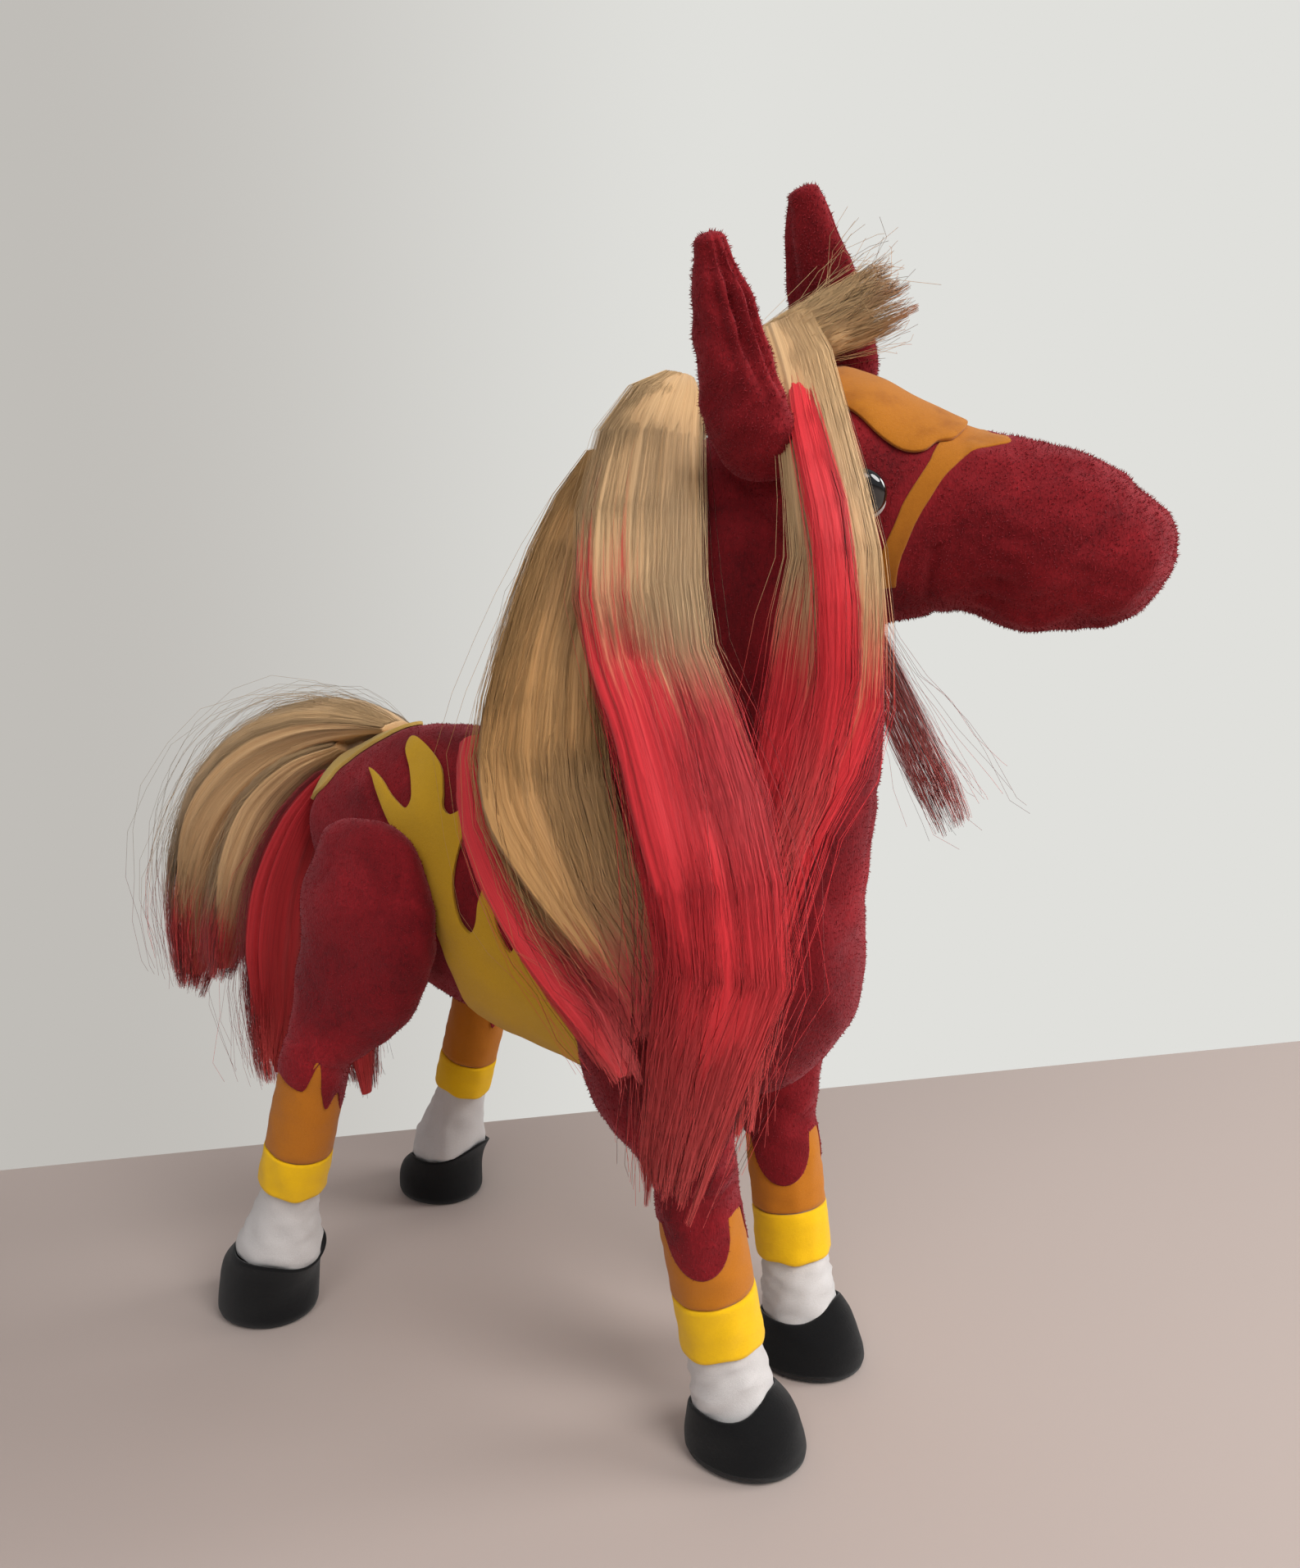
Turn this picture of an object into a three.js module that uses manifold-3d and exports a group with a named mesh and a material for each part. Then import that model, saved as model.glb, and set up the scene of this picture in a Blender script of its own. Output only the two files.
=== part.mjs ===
// A soft toy horse on a bendable wire frame, 320 mm to the tips of its ears.
// X runs towards the chest, Y to the horse's left and Z up; the floor is z = 0. Lengths are millimetres.
// Trunk, neck, head and legs are sewn bags packed with fibre. Wires run through them and can be bent
// at the shoulders, hips, knees, hocks, the root of the neck, the poll and the root of the tail.
import * as THREE from "three";
import { ConvexGeometry } from "three/addons/geometries/ConvexGeometry.js";
import { mergeVertices } from "three/addons/utils/BufferGeometryUtils.js";
import Module from "manifold-3d";

const wasm = await Module();
wasm.setup();

// Trunk
const trunkLength = 182;
const trunkDepth = 100;
const trunkWidth = 54;
const backHeight = 188;
const rumpBehind = 82; // from the middle of the stance back to the rump
// Neck
const neckDepth = 84; // throat to crest where it leaves the trunk
const neckWidth = 46;
const pollHeight = 286;
const neckAhead = 61; // of the middle of the stance
// Head
const headLength = 109;
const headDepth = 66;
const headWidth = 48;
const headRollDegrees = 26; // the head is cocked to the horse's right
const earLength = 48;
const earWidth = 21;
const earThickness = 9;
const eyeHeight = 12;
const eyeWidth = 13;
const eyeThickness = 6;
const blazeWidth = 38;
const blazeLength = 47;
const strapWidth = 5.5;
// Legs
const shoulderAhead = 61;
const shoulderHeight = backHeight - trunkDepth / 2;
const shoulderDepth = 44;
const hipBehind = 40;
const hipHeight = backHeight - 0.45 * trunkDepth;
const thighDepth = 50;
const padThickness = 21; // of a thigh or a shoulder, across the body
const kneeAhead = 68;
const kneeHeight = 0.515 * shoulderHeight;
const kneeStance = 54; // between the middles of the two knees
const kneeRadius = 10.8;
const hockBehind = 55;
const hockHeight = 0.608 * hipHeight;
const hockStance = 82;
const hockRadius = 10.4;
const shankRadius = 9.1;
const frontHoofAhead = 80;
const frontStance = 44; // between the middles of the two hooves
const hindHoofBehind = 80;
const hindStance = 85;
const hoofHeight = 0.29 * kneeHeight; // to the points at toe and heel
const hoofLength = 36;
const hoofWidth = 31;
const hoofScoopRadius = 17;
const shankFoot = 0.3 * hoofHeight; // height of the end of the shank inside its hoof
const sockDrop = 4; // from the middle of a knee or hock down to the top of its sock
const bandHeight = 0.19 * kneeHeight;
const frontSockFoot = 0.648 * kneeHeight; // height of the lower edge of an orange sock
const hindSockFoot = 0.678 * hockHeight;
const kneeTongueWidth = 14.5;
const kneeTongueLength = 12.5;
const kneeCuffHeight = 3;
// Cloth, felt, wire and the room left between pieces
const feltThickness = 1.1;
const wireRadius = 1;
const wireAboveBack = 7; // of the neck's wire, clear of the trunk as the neck nods
const clearance = 0.3;
const runningClearance = 0.4; // between two pieces that turn on each other
const overrun = 2; // how far a cut runs past what it cuts
const weldTolerance = 0.0001;
// Hair
const dockLength = 24;
const dockRadius = 8.5;
const tailReach = 106; // from the rump to the furthest hair
const tailHairWidth = 54;
const lockThickness = 11;
const lockWidth = 36;
// The middle of the toy's box, from the middle of its stance
const boxMiddleAhead = -2.2;
const boxMiddleLeft = -1.2;

// Bends that the wires allow, in degrees
const legSwing = 20;
const jointBend = 35; // of a knee or a hock
const neckNod = 8;
const headTurn = 20;
const tailLift = 15;

const velvet = { color: 0x7d1420, roughness: 0.9 };
const materials = {
  plush: velvet,
  hoofFelt: { color: 0x0d0d0f, roughness: 0.95 },
  orangeFelt: { color: 0xd9851a, roughness: 0.95 },
  yellowFelt: { color: 0xf2bd1d, roughness: 0.95 },
  flameFelt: { color: 0xcfae22, roughness: 0.95 },
  whiteFelt: { color: 0xe6e2df, roughness: 0.95 },
  blondHair: { color: 0xc9a066, roughness: 0.5 },
  redHair: { color: 0xd0303c, roughness: 0.5 },
  eyeGloss: { color: 0x050505, roughness: 0.15 },
  galvanisedWire: { color: 0x9a9c9e, roughness: 0.4, metalness: 0.9 },
};
for (const [name, finish] of Object.entries(materials)) {
  materials[name] = new THREE.MeshStandardMaterial({ name, ...finish });
}

const vec = (x, y, z) => new THREE.Vector3(x, y, z);
const ahead = vec(1, 0, 0);
const across = vec(0, 1, 0);
const upright = vec(0, 0, 1);

// Solids and geometries

function solidOf(geometry) {
  const bare = geometry.clone();
  bare.deleteAttribute("normal");
  bare.deleteAttribute("uv");
  const merged = mergeVertices(bare, weldTolerance);
  return new wasm.Manifold(
    new wasm.Mesh({
      numProp: 3,
      vertProperties: new Float32Array(merged.attributes.position.array),
      triVerts: new Uint32Array(merged.index.array),
    }),
  );
}

function geometryOf(solid) {
  const mesh = solid.getMesh();
  const corners = new Float32Array(mesh.numVert * 3);
  for (let i = 0; i < mesh.numVert; i++) {
    corners.set(mesh.vertProperties.subarray(i * mesh.numProp, i * mesh.numProp + 3), i * 3);
  }
  const geometry = new THREE.BufferGeometry();
  geometry.setAttribute("position", new THREE.BufferAttribute(corners, 3));
  geometry.setIndex(new THREE.BufferAttribute(new Uint32Array(mesh.triVerts), 1));
  return geometry;
}

// The largest body of a solid, for a cut that leaves crumbs beside it.
function mainBody(solid) {
  const bodies = solid.decompose();
  return bodies.reduce((most, body) => (body.volume() > most.volume() ? body : most));
}

// The convex envelope of geometry turned by each of the angles about a line through pivot
function swept(geometry, pivot, axis, degrees) {
  const places = geometry.attributes.position;
  const points = degrees.flatMap((angle) =>
    Array.from({ length: places.count }, (_, i) =>
      new THREE.Vector3()
        .fromBufferAttribute(places, i)
        .sub(pivot)
        .applyAxisAngle(axis, THREE.MathUtils.degToRad(angle))
        .add(pivot),
    ),
  );
  return solidOf(new ConvexGeometry(points));
}

const anglesBetween = (low, high, count) =>
  Array.from({ length: count }, (_, i) => low + ((high - low) * i) / (count - 1));

// Catmull-Rom through numbers, for radii and the places of sections
function smooth(values, t) {
  const last = values.length - 1;
  const place = Math.min(Math.max(t, 0), 1) * last;
  const i = Math.min(Math.floor(place), last - 1);
  const u = place - i;
  const before = values[Math.max(i - 1, 0)];
  const start = values[i];
  const end = values[i + 1];
  const after = values[Math.min(i + 2, last)];
  const bend = 2 * start + (end - before) * u;
  const curve = (2 * before - 5 * start + 4 * end - after) * u * u;
  const twist = (3 * start - before - 3 * end + after) * u * u * u;
  return (bend + curve + twist) / 2;
}

// A skin over rings of corners, closed by a fan at each end or, as a loop, by its first ring
function skinOver(rings, loop = false) {
  const sides = rings[0].length;
  const corners = rings.flat();
  const faces = [];
  const join = (first, second) => {
    for (let k = 0; k < sides; k++) {
      const next = (k + 1) % sides;
      const [a, b] = [first * sides + k, first * sides + next];
      const [c, d] = [second * sides + next, second * sides + k];
      faces.push([a, b, c], [a, c, d]);
    }
  };
  for (let r = 0; r + 1 < rings.length; r++) join(r, r + 1);
  if (loop) {
    join(rings.length - 1, 0);
  } else {
    for (const ring of [0, rings.length - 1]) {
      const middle = rings[ring].reduce((sum, corner) => sum.clone().add(corner)).divideScalar(sides);
      corners.push(middle);
      for (let k = 0; k < sides; k++) {
        const edge = [ring * sides + k, ring * sides + ((k + 1) % sides)];
        faces.push([corners.length - 1, ...(ring ? edge : edge.reverse())]);
      }
    }
  }
  const geometry = new THREE.BufferGeometry().setFromPoints(corners);
  geometry.setIndex(faces.flat());
  if (solidOf(geometry).volume() < 0) geometry.setIndex(faces.map((face) => face.reverse()).flat());
  return geometry;
}

// A stuffed form: ellipses strung along a smooth line, with a dome at each end.
// A section is { at, deep, wide }: wide is its half width across the horse, deep the other half size.
const domeShares = [1, 0.9, 0.62, 0.3];
function stuffed(sections, options = {}) {
  const { sides = 16, rings = 9, grow = 0, domes = [0, 0], pinch = () => 1, level = false } = options;
  const centre = (t) =>
    vec(...["x", "y", "z"].map((k) => smooth(sections.map((s) => s.at[k]), t)));
  const size = (key, t) => smooth(sections.map((s) => s[key]), t) + grow;
  const tangentAt = (t) => {
    const step = 0.02;
    return centre(Math.min(t + step, 1)).sub(centre(Math.max(t - step, 0))).normalize();
  };
  const ringAt = (t, push, shrink) => {
    const along = level ? upright : tangentAt(t);
    const guide = Math.abs(along.y) > 0.9 ? ahead : across;
    const side = guide.clone().addScaledVector(along, -guide.dot(along)).normalize();
    const up = along.clone().cross(side);
    return Array.from({ length: sides }, (_, k) => {
      const angle = (2 * Math.PI * k) / sides;
      return centre(t)
        .addScaledVector(along, push)
        .addScaledVector(side, Math.cos(angle) * pinch(angle) * shrink * size("wide", t))
        .addScaledVector(up, Math.sin(angle) * pinch(angle) * shrink * size("deep", t));
    });
  };
  const roundOff = (push) => Math.sqrt(1 - Math.min(push, 0.998) ** 2);
  const dome = (t, height) =>
    height ? domeShares.map((push) => ringAt(t, push * height, roundOff(push))) : [];
  return skinOver([
    ...dome(0, -Math.sign(domes[0]) * (domes[0] + grow)),
    ...Array.from({ length: rings }, (_, i) => ringAt(i / (rings - 1), 0, 1)),
    ...dome(1, Math.sign(domes[1]) * (domes[1] + grow)).reverse(),
  ]);
}

// A length of wire through the points
const tubeAlong = (points, radius, past) =>
  stuffed(points.map((at) => ({ at, deep: radius, wide: radius })), {
    sides: 6,
    rings: points.length === 2 ? 2 : points.length * 2,
    domes: [past, past],
  });
const wire = (points) => solidOf(tubeAlong(points, wireRadius, 0));

// The hole that a wire lies in, with a straight way out from each end that has one
const wireBore = (points, ...exits) =>
  exits.reduce(
    (hole, [from, to]) => hole.add(solidOf(tubeAlong([from, to], wireRadius + clearance, clearance))),
    solidOf(tubeAlong(points, wireRadius + clearance, overrun)),
  );

const ground = vec(0, 0, 0);
const padClearance = clearance + feltThickness + runningClearance;
const horse = new THREE.Group();
horse.name = "plush_horse";
horse.position.set(-boxMiddleAhead, -boxMiddleLeft, 0);

// Each body that moves is a group placed at the bend that it moves on.
function bodyAt(pivot, parent) {
  const group = new THREE.Group();
  group.position.copy(pivot).sub(parent.pivot);
  parent.group.add(group);
  return { group, pivot };
}

function addPiece(body, name, solid, material) {
  const whole = mainBody(solid);
  const geometry = geometryOf(whole).translate(...body.pivot.clone().negate().toArray());
  const faceted = geometry.toNonIndexed();
  faceted.computeVertexNormals();
  const mesh = new THREE.Mesh(faceted, material);
  mesh.name = name;
  body.group.add(mesh);
}

const trunkBody = bodyAt(ground, { group: horse, pivot: ground });

// Trunk: stations from the rump to the chest, as shares of its length, depth and width
const trunkShares = [
  { along: 0.045, top: 0.925, depth: 0.42, width: 0.62 },
  { along: 0.16, top: 0.985, depth: 0.72, width: 0.88 },
  { along: 0.31, top: 1, depth: 0.86, width: 0.97 },
  { along: 0.47, top: 0.992, depth: 0.93, width: 1 },
  { along: 0.63, top: 1, depth: 0.99, width: 1 },
  { along: 0.79, top: 1, depth: 1, width: 0.97 },
  { along: 0.9, top: 0.965, depth: 0.83, width: 0.84 },
  { along: 0.965, top: 0.9, depth: 0.56, width: 0.6 },
];
const trunkSections = trunkShares.map(({ along, top, depth, width }) => ({
  at: vec(along * trunkLength - rumpBehind, 0, top * backHeight - (depth * trunkDepth) / 2),
  deep: (depth * trunkDepth) / 2,
  wide: (width * trunkWidth) / 2,
}));
const trunkForm = (grow = 0) =>
  stuffed(trunkSections, {
    sides: 18,
    rings: 10,
    grow,
    domes: [trunkShares[0].along * trunkLength, (1 - trunkShares[7].along) * trunkLength],
  });

const shoulderLine = vec(shoulderAhead, 0, shoulderHeight);
const hipLine = vec(-hipBehind, 0, hipHeight);
const padMiddle = trunkWidth / 2 + padThickness / 3;
const tailRoot = vec(trunkSections[0].at.x, 0, trunkSections[0].at.z + 0.2 * trunkSections[0].deep);

// Neck: from inside the trunk to the poll, as shares of its rise, depth and width
const neckRoot = vec(neckAhead, 0, backHeight - 0.375 * trunkDepth);
const neckRise = pollHeight - neckRoot.z;
const neckShares = [
  { along: 0, ahead: 0, depth: 0.96, width: 1 },
  { along: 0.33, ahead: 0.02, depth: 0.98, width: 0.96 },
  { along: 0.55, ahead: 0.055, depth: 0.84, width: 0.88 },
  { along: 0.7, ahead: 0.08, depth: 0.68, width: 0.78 },
  { along: 0.8, ahead: 0.085, depth: 0.52, width: 0.7 },
];
const neckSections = neckShares.map(({ along, ahead, depth, width }) => ({
  at: vec(neckRoot.x + ahead * neckRise, 0, neckRoot.z + along * neckRise),
  deep: (depth * neckDepth) / 2,
  wide: (width * neckWidth) / 2,
}));
const neckDome = 0.08 * neckRise;
const neckForm = (grow = 0) =>
  stuffed(neckSections, { sides: 16, rings: 7, grow, domes: [neckDome, neckDome] });
const poll = neckSections[4].at;
const neckBody = bodyAt(neckRoot, trunkBody);
const neckSolid = mainBody(
  solidOf(neckForm()).subtract(
    swept(trunkForm(runningClearance), neckRoot, across, anglesBetween(-neckNod, neckNod, 3)),
  ),
);

// Head: it sits over the end of the neck, with its chin well below the poll.
const skullAhead = poll.x - 0.142 * headLength; // of the middle of the stance
const chinHeight = pollHeight - 1.106 * headDepth;
// Stations from the back of the skull to the muzzle, as shares of its length, depth and width
const headShares = [
  { along: 0.1, middle: 0.66, depth: 0.74, width: 0.76 },
  { along: 0.22, middle: 0.55, depth: 0.98, width: 0.96 },
  { along: 0.36, middle: 0.52, depth: 0.98, width: 1 },
  { along: 0.48, middle: 0.47, depth: 0.85, width: 0.92 },
  { along: 0.59, middle: 0.43, depth: 0.7, width: 0.78 },
  { along: 0.7, middle: 0.4, depth: 0.64, width: 0.7 },
  { along: 0.81, middle: 0.36, depth: 0.66, width: 0.7 },
  { along: 0.91, middle: 0.3, depth: 0.56, width: 0.6 },
];
const headSections = headShares.map(({ along, middle, depth, width }) => ({
  at: vec(skullAhead + along * headLength, 0, chinHeight + middle * headDepth),
  deep: (depth * headDepth) / 2,
  wide: (width * headWidth) / 2,
}));
const headRoll = new THREE.Matrix4()
  .makeTranslation(poll.x, poll.y, poll.z)
  .multiply(new THREE.Matrix4().makeRotationX(THREE.MathUtils.degToRad(headRollDegrees)))
  .multiply(new THREE.Matrix4().makeTranslation(-poll.x, -poll.y, -poll.z));
const headFormUpright = (grow = 0) =>
  stuffed(headSections, {
    sides: 16,
    rings: 9,
    grow,
    domes: [headShares[0].along * headLength, (1 - headShares[7].along) * headLength],
  });
const rolled = (geometry) => geometry.applyMatrix4(headRoll);
const headForm = (grow = 0) => rolled(headFormUpright(grow));
const headBody = bodyAt(poll, neckBody);

// A piece of felt that lies on a form, cut out along an outline that runs through it
function feltOn(form, outline, thickness = feltThickness) {
  return solidOf(form(clearance + thickness)).subtract(solidOf(form(clearance))).intersect(outline);
}

// The points of an outline, each moved out from their middle
function widened(points, by) {
  const flat = points.map(([a, b]) => new THREE.Vector2(a, b));
  const middle = flat.reduce((sum, point) => sum.clone().add(point)).divideScalar(flat.length);
  const moved = (point) => point.clone().sub(middle).setLength(point.distanceTo(middle) + by).add(middle);
  return flat.map((point) => moved(point).toArray());
}

// An outline drawn on the plane of two directions, pushed both ways along the third
function prism(points, right, up, reach, curved = false) {
  const shape = new THREE.Shape();
  if (curved) {
    shape.moveTo(...points[0]).splineThru(points.slice(1).map(([a, b]) => new THREE.Vector2(a, b)));
  } else {
    points.forEach(([a, b], i) => (i ? shape.lineTo(a, b) : shape.moveTo(a, b)));
  }
  const through = right.clone().cross(up);
  const geometry = new THREE.ExtrudeGeometry(shape, {
    depth: 2 * reach,
    bevelEnabled: false,
    curveSegments: 2,
  });
  geometry.translate(0, 0, -reach);
  return solidOf(geometry.applyMatrix4(new THREE.Matrix4().makeBasis(right, up, through)));
}

// Ears: leaf shapes with a fold down the front, leaning in a little towards their tips
const earShares = [
  { up: 0, out: 0.8, width: 0.76, thick: 1.3 },
  { up: 0.18, out: 0.96, width: 0.98, thick: 1.25 },
  { up: 0.4, out: 1, width: 1, thick: 1 },
  { up: 0.72, out: 0.94, width: 0.78, thick: 0.85 },
  { up: 1, out: 0.9, width: 0.42, thick: 0.6 },
];
const earAhead = skullAhead + 0.26 * headLength;
const earFoot = chinHeight + 0.84 * headDepth;
const earOut = 0.52 * headWidth;
const earLeanShare = 0.06; // back, of its length
function earForm(left, grow = 0) {
  const sections = earShares.map(({ up, out, width, thick }) => ({
    at: vec(earAhead - earLeanShare * up * earLength, left * out * earOut, earFoot + up * earLength),
    deep: (width * earWidth) / 2,
    wide: (thick * earThickness) / 2,
  }));
  const foldAngle = left > 0 ? -Math.PI / 4 : (5 * Math.PI) / 4;
  const fold = (angle) => 1 - 0.5 * Math.max(0, Math.cos(angle - foldAngle)) ** 6;
  return rolled(
    stuffed(sections, {
      sides: 14,
      rings: 6,
      grow,
      domes: [0.1 * earLength, 0.04 * earLength],
      pinch: fold,
    }),
  );
}

// Eyes: glossy buttons sunk in the cheeks, each on a scrap of white felt
const eyeStation = headSections[2];
const eyeAheadShare = 0.55; // of its width, ahead of the station
const eyeOutShare = 0.97; // of the head's half width
const eyeUpShare = 0.46; // of the head's half depth
function eyeForm(left, grow = 0, slide = 0) {
  const globe = new THREE.SphereGeometry(1, 12, 8);
  globe.scale(eyeWidth / 2 + grow, eyeThickness / 2 + grow, eyeHeight / 2 + grow);
  globe.translate(
    eyeStation.at.x + (eyeAheadShare + slide) * eyeWidth,
    left * eyeOutShare * eyeStation.wide,
    eyeStation.at.z + eyeUpShare * eyeStation.deep - slide * eyeHeight,
  );
  return rolled(globe);
}
const whiteSlide = 0.17; // of the eye's size, from the button to its felt
const whiteGrow = -0.1 * eyeThickness;

const turns = anglesBetween(-headTurn, headTurn, 7);
const neckTurned = swept(neckForm(runningClearance), poll, upright, turns);
let headSolid = solidOf(headForm()).subtract(neckTurned);
for (const [sideName, left] of [["left", 1], ["right", -1]]) {
  const eye = solidOf(eyeForm(left));
  const eyeHole = solidOf(eyeForm(left, clearance));
  const white = solidOf(eyeForm(left, whiteGrow, whiteSlide)).subtract(eyeHole);
  addPiece(headBody, `eye_${sideName}`, eye, materials.eyeGloss);
  addPiece(headBody, `eye_white_${sideName}`, white, materials.whiteFelt);
  headSolid = headSolid
    .subtract(eyeHole)
    .subtract(solidOf(eyeForm(left, whiteGrow + clearance, whiteSlide)));
  const ear = solidOf(earForm(left)).subtract(solidOf(headForm(clearance))).subtract(neckTurned);
  addPiece(headBody, `ear_${sideName}`, ear, materials.plush);
}
addPiece(headBody, "head", headSolid, materials.plush);

// Blaze and cheek strap: the strap crosses the bridge of the nose and runs down and back over both cheeks.
const bridge = [skullAhead + 0.64 * headLength, chinHeight + 0.76 * headDepth];
const jaw = [skullAhead + 0.44 * headLength, chinHeight + 0.3 * headDepth];
const strapLean = Math.atan2(bridge[1] - jaw[1], bridge[0] - jaw[0]);
const strapEdge = (offset, along) => [
  bridge[0] + offset * Math.sin(strapLean) + along * Math.cos(strapLean),
  bridge[1] - offset * Math.cos(strapLean) + along * Math.sin(strapLean),
];
const strapLength = Math.hypot(bridge[0] - jaw[0], bridge[1] - jaw[1]);
const strapOutline = (half, low) =>
  prism(
    [strapEdge(-half, headDepth), strapEdge(-half, low), strapEdge(half, low), strapEdge(half, headDepth)],
    ahead,
    upright,
    headWidth,
  );
const strap = feltOn(headFormUpright, strapOutline(strapWidth / 2, -strapLength));
const blazeShares = [
  [0, 0.16], [0.3, 0.36], [0.62, 0.5], [0.9, 0.47], [1.2, 0.3],
  [1.2, -0.3], [0.9, -0.47], [0.62, -0.5], [0.3, -0.36], [0, -0.16],
];
const blazeBack = bridge[0] - blazeLength;
const blazePoints = blazeShares.map(([along, out]) => [blazeBack + along * blazeLength, out * blazeWidth]);
const topPoints = [
  [skullAhead, chinHeight + 0.84 * headDepth],
  strapEdge(-strapWidth / 2 - clearance, -strapLength / 9),
  strapEdge(-strapWidth / 2 - clearance, headDepth),
  [skullAhead, chinHeight + 2 * headDepth],
];
const blazeOutline = (by) =>
  prism(widened(blazePoints, by), ahead, across, 2 * pollHeight, true).intersect(
    prism(widened(topPoints, by), ahead, upright, headWidth),
  );
const eyeSockets = ["left", "right"].map((side) => solidOf(eyeForm(side === "left" ? 1 : -1, clearance)));
const blaze = feltOn(headFormUpright, blazeOutline(0));
const rolledSolid = (solid) => solidOf(rolled(geometryOf(solid)));
const blazeSolid = rolledSolid(mainBody(blaze)).subtract(eyeSockets[0]).subtract(eyeSockets[1]);
addPiece(headBody, "blaze", blazeSolid, materials.orangeFelt);
addPiece(headBody, "cheek_strap", rolledSolid(mainBody(strap)), materials.orangeFelt);

// Wires of the frame: the one along the spine passes over the two that cross the trunk.
const wirePitch = 2 * (wireRadius + clearance);
const above = (point, rise) => point.clone().add(vec(0, 0, rise));
const spinePoints = [
  tailRoot.clone().add(vec(wirePitch, 0, 0)),
  above(hipLine, wirePitch),
  vec(0, 0, (hipHeight + backHeight) / 2),
  above(shoulderLine, wirePitch),
];
const crossing = (line, reach) => [
  line.clone().add(vec(0, -reach, 0)),
  line.clone().add(vec(0, reach, 0)),
];
const neckWirePoints = [vec(neckSections[1].at.x, 0, backHeight + wireAboveBack), poll.clone()];
const trunkBores = [
  wireBore(crossing(hipLine, trunkWidth)),
  wireBore(crossing(shoulderLine, trunkWidth)),
  wireBore(spinePoints, [vec(-rumpBehind - overrun, 0, tailRoot.z), spinePoints[0]]),
];
const trunkSolid = trunkBores.reduce((rest, bore) => rest.subtract(bore), solidOf(trunkForm()));
addPiece(trunkBody, "trunk", trunkSolid, materials.plush);
addPiece(trunkBody, "spine_wire", wire(spinePoints), materials.galvanisedWire);
addPiece(trunkBody, "hip_wire", wire(crossing(hipLine, padMiddle)), materials.galvanisedWire);
addPiece(trunkBody, "shoulder_wire", wire(crossing(shoulderLine, padMiddle)), materials.galvanisedWire);
const neckBore = wireBore(
  neckWirePoints,
  [neckRoot, neckWirePoints[0]],
  [poll, above(poll, neckDome + overrun)],
);
addPiece(neckBody, "neck", neckSolid.subtract(neckBore), materials.plush);
addPiece(neckBody, "neck_wire", wire(neckWirePoints), materials.galvanisedWire);

// Flames of felt up the flanks and under the belly, as shares of the trunk's length and the back's height
const flameShares = [
  [0.36, 0.36], [0.375, 0.63], [0.34, 0.77], [0.29, 0.85], [0.215, 0.94], [0.285, 0.915],
  [0.28, 0.965], [0.315, 0.995], [0.36, 0.955], [0.355, 0.86], [0.4, 0.77], [0.42, 0.7],
  [0.43, 0.78], [0.455, 0.87], [0.485, 0.78], [0.5, 0.68], [0.525, 0.74], [0.56, 0.82],
  [0.58, 0.72], [0.6, 0.63], [0.64, 0.7], [0.665, 0.62], [0.68, 0.36],
];
const flameOutline = prism(
  flameShares.map(([along, up]) => [along * trunkLength - rumpBehind, up * backHeight]),
  ahead,
  upright,
  trunkWidth,
  true,
);
addPiece(trunkBody, "belly_flames", feltOn(trunkForm, flameOutline), materials.flameFelt);

// A crescent of felt over the root of the tail
const rumpPatchShares = [
  [-0.04, 0.2], [0.08, 0.24], [0.2, 0.13], [0.27, 0], [0.2, -0.13], [0.08, -0.24], [-0.04, -0.2],
];
const rumpPatchPoints = rumpPatchShares.map(([along, out]) => [
  along * trunkLength - rumpBehind,
  2 * out * trunkWidth,
]);
const upperPoints = [
  [-rumpBehind, tailRoot.z], [-rumpBehind, 2 * backHeight], [0, 2 * backHeight], [0, tailRoot.z],
];
const rumpPatchOutline = (by) =>
  prism(widened(rumpPatchPoints, by), ahead, across, 2 * pollHeight, true).intersect(
    prism(widened(upperPoints, by), ahead, upright, trunkWidth),
  );

// Legs. Heights go down from the shoulder or hip, as shares of the height from there to the bend;
// out is 1 on the flank and 0 over the lower leg.
const shoulderShares = [
  { down: -0.24, ahead: -0.02, deep: 0.6, wide: 0.62, out: 1 },
  { down: 0.02, ahead: 0, deep: 0.97, wide: 1, out: 1 },
  { down: 0.42, ahead: -0.06, deep: 0.98, wide: 1.04, out: 0.84 },
  { down: 0.72, ahead: 0, deep: 0.42, wide: 1.02, out: 0.42 },
  { down: 0.9, ahead: 0.01, deep: 0.08, wide: 1, out: 0.08 },
  { down: 1, ahead: 0, deep: 0, wide: 1, out: 0 },
];
const thighShares = [
  { down: -0.2, ahead: 0.06, deep: 0.5, wide: 0.6, out: 1 },
  { down: 0.08, ahead: 0.04, deep: 0.95, wide: 1, out: 1 },
  { down: 0.42, ahead: 0.05, deep: 1, wide: 1.06, out: 0.96 },
  { down: 0.68, ahead: 0.05, deep: 0.66, wide: 1, out: 0.6 },
  { down: 0.88, ahead: 0.02, deep: 0.14, wide: 0.98, out: 0.15 },
  { down: 1, ahead: 0, deep: 0, wide: 1, out: 0 },
];
const legKinds = {
  front: {
    line: shoulderLine,
    upperName: "shoulder",
    shares: shoulderShares,
    padDepth: shoulderDepth,
    bendAhead: kneeAhead,
    bendOut: kneeStance / 2,
    bendHeight: kneeHeight,
    bendRadius: kneeRadius,
    sockFoot: frontSockFoot,
    cuffed: true,
    hoofAhead: frontHoofAhead,
    hoofOut: frontStance / 2,
    bend: [0, jointBend],
  },
  hind: {
    line: hipLine,
    upperName: "thigh",
    shares: thighShares,
    padDepth: thighDepth,
    bendAhead: -hockBehind,
    bendOut: hockStance / 2,
    bendHeight: hockHeight,
    bendRadius: hockRadius,
    sockFoot: hindSockFoot,
    cuffed: false,
    hoofAhead: -hindHoofBehind,
    hoofOut: hindStance / 2,
    bend: [-jointBend, 0],
  },
};

// The lower leg's radius from its bend to its foot, in shares of its length and of shankRadius
const shankShares = [1, 1.02, 1.04, 1.05, 1.19, 1.24];
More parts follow.
